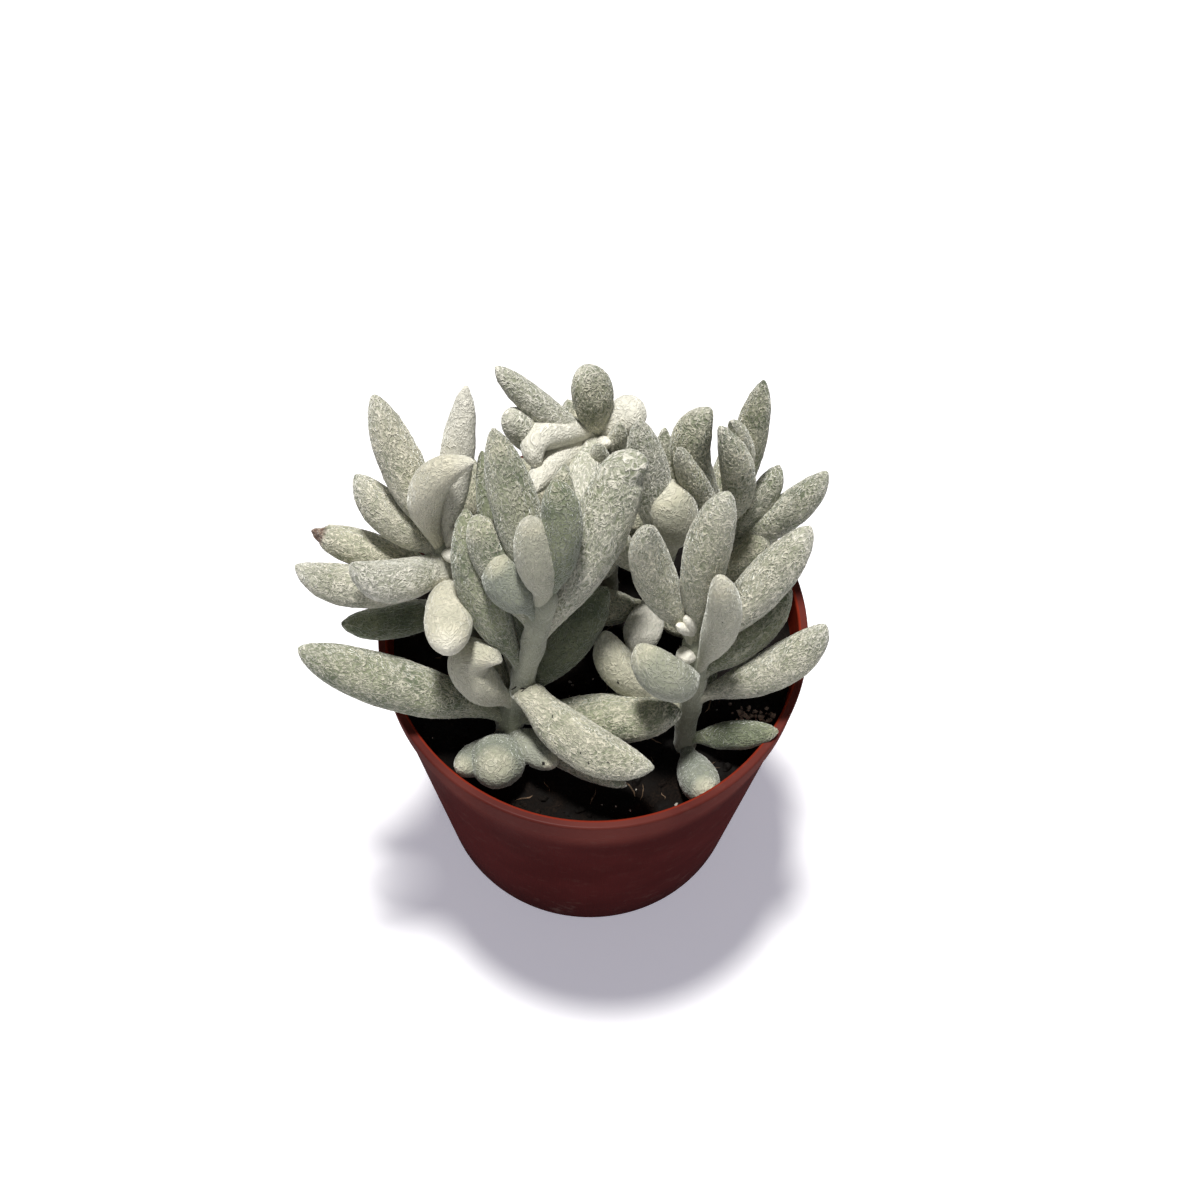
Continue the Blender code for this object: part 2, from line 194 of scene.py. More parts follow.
def pot_outline():
    """The moulding's section, from the middle of its floor over the rim to the middle pad."""
    collar_foot = POT_HEIGHT - COLLAR_HEIGHT
    fillet_centre = (wall_radius(FLOOR_TOP) - WALL - INNER_FILLET, FLOOR_TOP + INNER_FILLET)
    lip_inner = (RIM_RADIUS - LIP_WIDTH + LIP_ROUND, POT_HEIGHT - LIP_ROUND)
    lip_outer = (RIM_RADIUS - LIP_ROUND, POT_HEIGHT - LIP_ROUND)
    base_centre = (wall_radius(BASE_ROUND) - BASE_ROUND, BASE_ROUND)
    outline = [(0, FLOOR_TOP)]
    outline += rounded(INNER_FILLET, fillet_centre, -90, -4, 4)
    outline += [(wall_radius(collar_foot) - WALL, collar_foot)]
    outline += rounded(LIP_ROUND, lip_inner, 180, 90, 5)
    outline += rounded(LIP_ROUND, lip_outer, 90, 0, 5)
    collar = RIM_RADIUS - COLLAR_TAPER
    outline += [(collar, collar_foot + COLLAR_STEP + LIP_ROUND)]
    outline += [(collar - inwards * COLLAR_PROUD, collar_foot + up * COLLAR_STEP)
                for inwards, up in COLLAR_UNDERCUT]
    outline += [(wall_radius(height), height) for height in WALL_LEVELS]
    outline += rounded(BASE_ROUND, base_centre, 0, -90, 6)
    outline += [(FOOT_INNER_RADIUS, 0), (FOOT_INNER_RADIUS - RECESS_SLOPE, UNDERSIDE_RECESS)]
    outline += [(PAD_RADIUS + RECESS_SLOPE, UNDERSIDE_RECESS), (PAD_RADIUS, 0), (0, 0)]
    return outline


def drill_drain_holes(moulding):
    """Cut the ring of drain holes with one joined set of drills."""
    bpy.ops.object.select_all(action="DESELECT")
    for k in range(DRAIN_HOLES):
        turn = math.tau * (k + 0.5) / DRAIN_HOLES
        place = (DRAIN_RING_RADIUS * math.cos(turn), DRAIN_RING_RADIUS * math.sin(turn), 0)
        bpy.ops.mesh.primitive_cylinder_add(
            vertices=DRAIN_HOLE_SIDES, radius=DRAIN_HOLE_RADIUS, depth=4 * FLOOR_TOP, location=place)
        bpy.context.object.name = "drill_%d" % k
    drills = [bpy.data.objects["drill_%d" % k] for k in range(DRAIN_HOLES)]
    for drill in drills:
        drill.select_set(True)
    bpy.ops.object.join()
    drill = bpy.context.object
    cut = moulding.modifiers.new("drain_holes", "BOOLEAN")
    cut.object = drill
    cut.operation = "DIFFERENCE"
    bpy.context.view_layer.objects.active = moulding
    bpy.ops.object.modifier_apply(modifier=cut.name)
    bpy.data.objects.remove(drill)


def feed(tree, socket, value):
    """Link a socket to another node's result, or set it to a plain value."""
    if isinstance(value, bpy.types.NodeSocket):
        tree.links.new(value, socket)
    else:
        socket.default_value = value


def add_node(tree, kind, options=None, **inputs):
    """Add a node, and set its options and feed its inputs by name."""
    node = tree.nodes.new("ShaderNode" + kind)
    for option, value in (options or {}).items():
        setattr(node, option, value)
    for name, value in inputs.items():
        feed(tree, node.inputs[name.replace("_", " ")], value)
    return node


def maths(tree, operation, first, second=0.0, clamp=False):
    """One Math node's result."""
    node = add_node(tree, "Math", {"operation": operation, "use_clamp": clamp})
    for socket, value in zip(node.inputs, (first, second)):
        feed(tree, socket, value)
    return node.outputs[0]


def blend_colours(tree, share, first, second):
    """A colour mixed from two by a share from 0 to 1."""
    node = add_node(tree, "Mix", {"data_type": "RGBA"})
    for number, value in zip(MIX_SOCKETS, (share, first, second)):
        feed(tree, node.inputs[number], value)
    return node.outputs[MIX_RESULT]


def spread(tree, value, low, high):
    """Stretch a value so that low becomes 0 and high becomes 1, smoothly."""
    smooth = {"interpolation_type": "SMOOTHSTEP"}
    return add_node(tree, "MapRange", smooth, Value=value, From_Min=low, From_Max=high).outputs[0]


def new_material(name, **shader_inputs):
    """A material with its Principled shader, and the constant values of its finish."""
    material = bpy.data.materials.new(name)
    material.use_nodes = True
    shader = material.node_tree.nodes["Principled BSDF"]
    for socket, value in shader_inputs.items():
        shader.inputs[socket.replace("_", " ")].default_value = value
    return material, material.node_tree, shader


def plastic(name, colour, collar_sheen_colour, roughness):
    """Moulded plastic: slow blotches, fine grain, a painted sheen below the collar and a little dust near
    the foot.
    """
    material, tree, shader = new_material(
        name, Specular_IOR_Level=0.0, Coat_Weight=0.04, Coat_Roughness=0.24)
    place = add_node(tree, "TexCoord").outputs["Object"]
    blotches = add_node(tree, "TexNoise", Vector=place, Scale=55, Detail=3).outputs["Fac"]
    grain = add_node(tree, "TexNoise", Vector=place, Scale=1400, Detail=2).outputs["Fac"]
    scuffs = add_node(tree, "TexNoise", Vector=place, Scale=130, Detail=6, Roughness=0.65).outputs["Fac"]
    specks = add_node(tree, "TexNoise", Vector=place, Scale=240, Detail=5, Roughness=0.7).outputs["Fac"]
    height = add_node(tree, "SeparateXYZ", Vector=place).outputs["Z"]
    low_down = spread(tree, height, DUST_HEIGHT, 0)
    dust = maths(tree, "MULTIPLY", spread(tree, specks, 0.52, 0.75), DUST_COVER)
    dust = maths(tree, "MULTIPLY", dust, maths(tree, "ADD", low_down, DUST_HIGH_UP), clamp=True)
    deep = [0.86 * part for part in colour[:3]] + [1]
    pale = [min(1, 1.1 * part + 0.001) for part in colour[:3]] + [1]
    body = blend_colours(tree, spread(tree, blotches, 0.3, 0.7), deep, pale)
    collar_foot = POT_HEIGHT - COLLAR_HEIGHT
    # Pale streaks that fade in below the collar: a painted sheen standing for its soft gloss
    drawn_out = add_node(tree, "Mapping", Vector=place, Scale=(1, 1, STREAK_DRAWN_OUT))
    sheen_streaks = add_node(tree, "TexNoise", Vector=drawn_out.outputs["Vector"], Scale=42, Detail=2)
    sheen_streaks = spread(tree, sheen_streaks.outputs["Fac"], 0.35, 0.65)
    painted_sheen = maths(tree, "ADD", maths(tree, "MULTIPLY", sheen_streaks, 0.5), 0.5)
    near_collar = spread(tree, height, collar_foot - SHEEN_FADE_LENGTH, collar_foot)
    body = blend_colours(tree, maths(tree, "MULTIPLY", painted_sheen, near_collar), body, collar_sheen_colour)
    body = blend_colours(tree, dust, body, POT_DUST)
    tree.links.new(body, shader.inputs["Base Color"])
    dull = maths(tree, "MULTIPLY", spread(tree, scuffs, 0.35, 0.75), SCUFF_DULLNESS)
    tree.links.new(maths(tree, "ADD", dull, roughness), shader.inputs["Roughness"])
    bump = add_node(tree, "Bump", Strength=0.25, Distance=PLASTIC_GRAIN, Height=grain)
    tree.links.new(bump.outputs[0], shader.inputs["Normal"])
    return material


def finish_piece(piece, name, slot, *nodes):
    """Name a finished piece, let it ride on the plant's one body, and hide the nodes it stands for."""
    piece.name = piece.data.name = name
    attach(piece, "root")
    if nodes:
        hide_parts(*nodes)


pot = turn_outline("pot_moulding", pot_outline(), POT_SIDES)
drill_drain_holes(pot)
pot.data.materials.append(plastic("pot_outside_shaded", POT_OUTSIDE_SHADED, POT_COLLAR_SHEEN, OUTSIDE_ROUGHNESS))
pot.data.materials.append(plastic("pot_inside_lit", POT_INSIDE_LIT, POT_INSIDE_LIT, INSIDE_ROUGHNESS))
# The inner wall and the floor inside take the brighter colour, painted light; the rest take the darker,
# painted shade
for face in pot.data.polygons:
    middle = Vector((face.center.x, face.center.y, 0))
    inward = face.normal.dot(middle) < 0 and middle.length > FOOT_INNER_RADIUS
    over_floor = 0.9 * FLOOR_TOP < face.center.z < SOIL_LEVEL and face.normal.z > 0.5
    face.material_index = 1 if inward or over_floor else 0
bpy.ops.object.shade_smooth_by_angle(angle=POT_CREASE)
finish_piece(pot, "pot_moulding", "pot_plastic", "pot")

# Soil: damp black potting mix that fills the pot to below its rim and has sunk a little at the wall.
# The plug keeps the node's sides, and its top is a fine skin raised into lumps and pits.
SOIL_LUMP = 0.5 * MM
SOIL_EDGE_DROP = 1.2 * MM
SOIL_TOP_RINGS = 64
SOIL_SIDES = 150
SOIL_CREASE = math.radians(50)
GAP = 0.3 * MM
COARSE_SIZE = 3.2 * MM
COARSE_RISE = 0.55 * MM
FINE_SIZE = 1.1 * MM
FINE_RISE = 0.28 * MM
FINE_SLICE = 9 * MM             # where in the noise the fine lumps are cut from
SOIL_DARK = (0.0036, 0.0026, 0.0020, 1)
SOIL_BROWN = (0.019, 0.012, 0.008, 1)
SOIL_ROUGHNESS = 0.95
DAMP_SHINE = -0.25
SOIL_RELIEF = 0.25 * MM


def soil_height(x, y, share):
    """The surface that the stems stand in, as in the solid: slow lumps, lowest at the wall."""
    x, y = x / MM, y / MM
    lump = math.sin(0.31 * x + 0.7) * math.cos(0.27 * y - 0.4) + 0.6 * math.sin(0.23 * x - 0.35 * y)
    return SOIL_LEVEL + SOIL_LUMP * lump - SOIL_EDGE_DROP * share ** 6


def crumbly(name, dark, light, roughness):
    """Broken organic soil: dark when damp, brown where it has dried, with a rough broken surface."""
    material, tree, shader = new_material(name, Specular_IOR_Level=0.15)
    place = add_node(tree, "TexCoord").outputs["Object"]
    patches = add_node(tree, "TexNoise", Vector=place, Scale=180, Detail=4).outputs["Fac"]
    crumbs = add_node(tree, "TexVoronoi", Vector=place, Scale=900)
    dust = add_node(tree, "TexNoise", Vector=place, Scale=2600, Detail=3).outputs["Fac"]
    dry = maths(tree, "MULTIPLY", spread(tree, patches, 0.45, 0.75), spread(tree, dust, 0.35, 0.7))
    tree.links.new(blend_colours(tree, dry, dark, light), shader.inputs["Base Color"])
    damp = maths(tree, "MULTIPLY", spread(tree, patches, 0.6, 0.35), DAMP_SHINE)
    tree.links.new(maths(tree, "ADD", damp, roughness), shader.inputs["Roughness"])
    relief = maths(tree, "ADD", crumbs.outputs["Distance"], maths(tree, "MULTIPLY", dust, 0.5))
    bump = add_node(tree, "Bump", Strength=0.7, Distance=SOIL_RELIEF, Height=relief)
    tree.links.new(bump.outputs[0], shader.inputs["Normal"])
    return material


soil_edge = wall_radius(SOIL_LEVEL) - WALL - GAP
soil_foot = FLOOR_TOP + GAP
outline = [(0, soil_foot), (wall_radius(FLOOR_TOP) - WALL - INNER_FILLET - GAP, soil_foot)]
outline += [(wall_radius(FLOOR_TOP + INNER_FILLET) - WALL - GAP, FLOOR_TOP + INNER_FILLET)]
outline += [(soil_edge * (1 - k / SOIL_TOP_RINGS), SOIL_LEVEL) for k in range(SOIL_TOP_RINGS + 1)]
soil = turn_outline("soil_plug", outline, SOIL_SIDES)
for vertex in soil.data.vertices:
    x, y, z = vertex.co
    if z > SOIL_LEVEL - GAP:
        coarse = lumps_at(Vector((x, y, 0)) / COARSE_SIZE)
        fine = lumps_at(Vector((x, y, FINE_SLICE)) / FINE_SIZE)
        broken = COARSE_RISE * coarse + FINE_RISE * fine
        vertex.co.z = soil_height(x, y, math.hypot(x, y) / soil_edge) + broken
soil.data.materials.append(crumbly("soil_mix", SOIL_DARK, SOIL_BROWN, SOIL_ROUGHNESS))
bpy.ops.object.shade_smooth_by_angle(angle=SOIL_CREASE)
finish_piece(soil, "soil_plug", "potting_soil", "soil")

# Loose matter on the soil: crumbs of the mix, shreds of bark and root, and a few pale mineral grains.
# Each kind is modelled once, and its copies lie on the soil by a seeded throw.
THROW_SEED = 5
THROW_TILT = 0.25               # in radians, as the usual tilt of a copy
THROW_VARIES = (0.75, 1.25)     # shares of a copy's usual size, along each axis
COARSE_KINDS = 3
FINE_KINDS = 4
LUMP_ROUGHNESS = 0.55
LUMP_FINENESS = 2.6
CRUMB_COUNT = 1500
CRUMB_SMALLEST = 0.45           # in millimetres
CRUMB_RANGE = 1.9               # in millimetres, and most crumbs are among the small ones
CRUMB_LARGE = 1.1 * MM          # above this a crumb is a copy of a coarse lump
CRUMB_STRETCH = (1, 1, 0.75)
CRUMB_SINK = 0.05
CRUMB_CLEAR = 1.5 * MM
CRUMB_BROWN = (0.030, 0.018, 0.012, 1)
CRUMB_ROUGHNESS = 0.9
GRIT_COUNT = 70
GRIT_HEAP = ((30.4, -15.2), (38.4, -16.0))      # the heap's two ends on the soil, in millimetres
GRIT_SCATTER = 0.8 * MM
GRIT_SIZES = (0.45, 1.15)       # in millimetres
GRIT_CLEAR = 1.2 * MM
GRIT_PINK = (0.46, 0.33, 0.27, 1)
GRAIN_COUNT = 60
GRAIN_SIZES = (0.3, 0.8)        # in millimetres
GRAIN_CLEAR = 2 * MM
GRAIN_WHITE = (0.52, 0.48, 0.42, 1)
GRAIN_STRETCH = (1, 1, 0.8)
GRAIN_SINK = -0.3               # below 0, so it stands proud of the soil
STAIN_DEPTH = 0.3
SHRED_COUNT = 70
SHRED_SIZES = (0.16, 0.34)      # thickness, in millimetres
SHRED_STRETCH = (14, 1, 0.8)
SHRED_SINK = -0.9
SHRED_CLEAR = 3 * MM
SHRED_PALE = (0.30, 0.20, 0.125, 1)
SEEN_SHREDS = (((-13.1, -35.0), 20), ((0.8, -34.2), 75), ((13.0, -21.4), 160), ((19.5, -23.4), 35))
SEEN_SHRED_SIZE = (4.2 * MM, 0.3 * MM, 0.25 * MM)
STRAND_OUTLINE = ((0, -0.5), (0.55, -0.2), (0.55, 0.2), (0, 0.5))
STRAND_MIDDLE = 0.4
STRAND_BENDS = ((1.7, 1.7), (-1.7, -1.7), (1.5, -1.5), (-1.5, 1.5), (1.2, 0), (0, -1.2))


def strewn_copies(name, masters, kinds, frames):
    """One mesh of many copies, where each frame, a 3 x 4 matrix, places a copy of the master of its kind."""
    shapes = []
    for master in masters:
        corners = np.array([vertex.co for vertex in master.data.vertices])
        master.data.calc_loop_triangles()
        triangles = np.array([face.vertices for face in master.data.loop_triangles])
        shapes.append((corners, triangles))
    points, faces, start = [], [], 0
    for kind, (corners, triangles) in enumerate(shapes):
        mine = frames[kinds == kind]
        placed = np.einsum("kij,nj->kni", mine[:, :, :3], corners) + mine[:, None, :, 3]
        points.append(placed.reshape(-1, 3))
        shifts = start + len(corners) * np.arange(len(mine))
        faces.append((triangles[None] + shifts[:, None, None]).reshape(-1, 3))
        start += len(corners) * len(mine)
    mesh = bpy.data.meshes.new(name)
    mesh.from_pydata(np.concatenate(points), [], np.concatenate(faces))
    copies = bpy.data.objects.new(name, mesh)
    bpy.context.scene.collection.objects.link(copies)
    return copies


def thrown_frames(draw, places, sizes, stretch, sink):
    """Frames that lay copies on the soil at (x, y), turned at random and sunk by a share of their size."""
    frames = np.zeros((len(places), 3, 4))
    for k, ((x, y), size) in enumerate(zip(places, sizes)):
        turn = Matrix.Rotation(draw.uniform(0, math.tau), 3, "Z")
        turn = turn @ Matrix.Rotation(draw.normal(0, THROW_TILT), 3, "X")
        found, point, _, _ = soil.ray_cast(Vector((x, y, POT_HEIGHT)), Vector((0, 0, -1)))
        frames[k, :, :3] = np.array(turn) * (size * np.array(stretch) * draw.uniform(*THROW_VARIES, 3))
        frames[k, :, 3] = (x, y, (point.z if found else SOIL_LEVEL) - sink * size)
    return frames


def broken_lump(name, detail, seed):
    """A small irregular lump, one unit across: a ball with its points pushed in and out."""
    bpy.ops.mesh.primitive_ico_sphere_add(subdivisions=detail, radius=0.5)
    lump = bpy.context.object
    lump.name = name
    for vertex in lump.data.vertices:
        vertex.co *= 1 + LUMP_ROUGHNESS * lumps_at(vertex.co * LUMP_FINENESS + Vector((seed, 0, 0)))
    return lump


def thrown_places(draw, count, reach):
    """Places on the soil inside a radius, at random."""
    turns = draw.uniform(0, math.tau, count)
    radii = reach * np.sqrt(draw.uniform(0, 1, count))
    return np.stack([radii * np.cos(turns), radii * np.sin(turns)], axis=1)


draw = np.random.default_rng(THROW_SEED)
coarse_lumps = [broken_lump("coarse_lump", 2, 3.0 * k) for k in range(COARSE_KINDS)]
fine_lumps = [broken_lump("fine_lump", 1, 20 + 3.0 * k) for k in range(FINE_KINDS)]
crumb_places = thrown_places(draw, CRUMB_COUNT, soil_edge - CRUMB_CLEAR)
crumb_sizes = MM * (CRUMB_SMALLEST + CRUMB_RANGE * draw.uniform(0, 1, CRUMB_COUNT) ** 4)
crumb_frames = thrown_frames(draw, crumb_places, crumb_sizes, CRUMB_STRETCH, CRUMB_SINK)
large = np.linalg.norm(crumb_frames[:, :, 0], axis=1) > CRUMB_LARGE
fine_kinds = COARSE_KINDS + draw.integers(0, FINE_KINDS, CRUMB_COUNT)
coarse_kinds = draw.integers(0, COARSE_KINDS, CRUMB_COUNT)
crumb_kinds = np.where(large, coarse_kinds, fine_kinds)
crumbs = strewn_copies("soil_crumbs", coarse_lumps + fine_lumps, crumb_kinds, crumb_frames)
crumbs.data.materials.append(crumbly("soil_crumb", SOIL_DARK, CRUMB_BROWN, CRUMB_ROUGHNESS))
finish_piece(crumbs, "soil_crumbs", "potting_soil")


def mineral(name, colour):
    """Small pale grains: one colour each, from pale to stained, with a dull broken surface."""
    material, tree, shader = new_material(name, Roughness=0.85)
    place = add_node(tree, "TexCoord").outputs["Object"]
    stain = add_node(tree, "TexNoise", Vector=place, Scale=900, Detail=3).outputs["Fac"]
    dark = [STAIN_DEPTH * part for part in colour[:3]] + [1]
    tree.links.new(
        blend_colours(tree, spread(tree, stain, 0.35, 0.6), dark, colour), shader.inputs["Base Color"])
    return material


heap_share = draw.uniform(0, 1, (GRIT_COUNT, 1))
heap_line = MM * (np.array(GRIT_HEAP[0]) * (1 - heap_share) + np.array(GRIT_HEAP[1]) * heap_share)
heap_places = heap_line + draw.normal(0, GRIT_SCATTER, (GRIT_COUNT, 2))
heap_reach = np.linalg.norm(heap_places, axis=1, keepdims=True)
heap_places *= np.minimum(1, (soil_edge - GRIT_CLEAR) / heap_reach)
grit_sizes = MM * draw.uniform(*GRIT_SIZES, GRIT_COUNT)
grit_frames = thrown_frames(draw, heap_places, grit_sizes, GRAIN_STRETCH, GRAIN_SINK)
grit = strewn_copies("pale_grit", fine_lumps, draw.integers(0, FINE_KINDS, GRIT_COUNT), grit_frames)
grit.data.materials.append(mineral("pale_grit", GRIT_PINK))
finish_piece(grit, "pale_grit", "potting_soil")

grain_places = thrown_places(draw, GRAIN_COUNT, soil_edge - GRAIN_CLEAR)
grain_sizes = MM * draw.uniform(*GRAIN_SIZES, GRAIN_COUNT)
grain_frames = thrown_frames(draw, grain_places, grain_sizes, GRAIN_STRETCH, GRAIN_SINK)
grain_kinds = draw.integers(0, FINE_KINDS, GRAIN_COUNT)
grains = strewn_copies("mineral_grains", fine_lumps, grain_kinds, grain_frames)
grains.data.materials.append(mineral("mineral_grain", GRAIN_WHITE))
finish_piece(grains, "mineral_grains", "potting_soil")


def bent_strands(name, bends):
    """Three-sided strands, one unit long and one thick, lying along X, each bowed sideways its own way."""
    strands = []
    for number, (first, second) in enumerate(bends):
        strand = turn_outline("%s_%d" % (name, number), STRAND_OUTLINE, 3)
        for vertex in strand.data.vertices:
            ring = first if vertex.co.z < 0 else second
            bow = ring if abs(vertex.co.z) < STRAND_MIDDLE else 0
            vertex.co = (vertex.co.z, vertex.co.y + bow, vertex.co.x)
        strand.data.flip_normals()
        strands.append(strand)
    return strands


strands = bent_strands("strand", STRAND_BENDS)
shred_places = thrown_places(draw, SHRED_COUNT, soil_edge - SHRED_CLEAR)
shred_places = np.concatenate([shred_places, MM * np.array([place for place, _ in SEEN_SHREDS])])
shred_sizes = MM * draw.uniform(*SHRED_SIZES, len(shred_places))
shred_frames = thrown_frames(draw, shred_places, shred_sizes, SHRED_STRETCH, SHRED_SINK)
for shred_frame, (_, heading) in zip(shred_frames[SHRED_COUNT:], SEEN_SHREDS):
    turn = np.array(Matrix.Rotation(math.radians(heading), 3, "Z"))
    shred_frame[:, :3] = turn * SEEN_SHRED_SIZE
shred_kinds = draw.integers(0, len(strands), len(shred_frames))
shreds = strewn_copies("bark_shreds", strands, shred_kinds, shred_frames)
shreds.data.materials.append(mineral("bark_shred", SHRED_PALE))
finish_piece(shreds, "bark_shreds", "potting_soil")

# Stems and leaves: plump spindle leaves on six upright stems, pale green flesh under a dense white felt.
# A leaf grew on its stem and runs down it a little, so each stem is one piece with all its leaves.
LEAF_NECK = 0.28
LEAF_FULLEST = 0.57
LEAF_TIP_POWER = 0.72
LEAF_STEPS = 40
LEAF_SIDES = 28
RING_CROWDING = 1.5             # above 1, the rings lie closer together towards the tip
YOUNG_WIDTH = 4                 # a leaf narrower than this, in millimetres, is the growing tip's own
STEM_SIDES = 24
STEM_STEP = 0.6 * MM
STEM_DEPTH = 14 * MM
STEM_ABOVE = 1.5                # how far it goes past its top leaf, in millimetres
STEM_TAPER = 3 * MM
STEM_TIP = (0.3, 0.7)           # its tip's share of the radius, and what the taper adds to it
SWELL_SHARE = 0.075             # swelling below a leaf, for each millimetre of the leaf's width
SWELL_BELOW = 2.2               # in millimetres, as the next two
SWELL_LENGTH = 2.6
SWELL_LIMIT = 1.1
NECK_PINCH = 0.27
NECK_PINCH_AT = 0.13            # share of the length
NECK_FLARE = 0.55
NECK_FLARE_LENGTH = 1.7 * MM
NECK_RUN_DOWN = 4.0 * MM
NECK_TAIL = 0.12                # share of the length that is drawn down into the stem
NECK_TAIL_NARROWS = 0.55
BLUNT_SCALE = 0.98
BLUNT_END = 1.001               # just past the tip, so that a blunted tip's swelling stays finite
BELLY_BULGE = 0.35              # of the flatness, on the lower side
BACK_ARCH = 0.12                # of the flatness, along the leaf
AXIS_GUARD = 1e-9               # keeps points on a leaf's axis out of a division by zero
FLESH = (0.260, 0.280, 0.185, 1)
FLESH_DEEP = (0.130, 0.155, 0.100, 1)
FELT = (0.760, 0.715, 0.575, 1)
FELT_WHITE = (0.890, 0.860, 0.765, 1)
# The grey felt is painted shade, for leaves that lie in shade
FELT_PAINTED_SHADE = (0.300, 0.315, 0.285, 1)
DRIED = (0.380, 0.280, 0.220, 1)
DRIED_DEEP = (0.130, 0.080, 0.062, 1)
SHEEN_TINT = (0.93, 0.95, 0.90, 1)
FELT_RELIEF = 0.42 * MM
LUMP_SIZE = 5 * MM
LUMP_DEPTH = 0.42 * MM
NAP_SIZE = 1.3 * MM
NAP_DEPTH = 0.16 * MM
PATTERN_SHIFT = 50 * MM         # every leaf reads its own part of the felt's pattern
PATTERN_STEPS = 10

# Stems, in millimetres: foot on the soil (x, y), top (x, y), height above the soil, radius
STEMS = {
    "stem_front_left": ((-17.5, -21.5), (-8.8, -13.5), 48, 2.2),
    "stem_front_right": ((19.4, -22.2), (20.8, -11.8), 29, 2.1),
    "stem_left": ((-24.0, 0.0), (-30.0, 1.0), 39, 2.1),
    "stem_back": ((3.0, 14.0), (0.0, 24.0), 45, 2.1),
    "stem_back_right": ((24.0, 8.0), (27.6, 17.0), 31, 2.1),
    "stem_middle": ((10.0, 2.0), (14.7, 8.5), 28, 2.0),
}

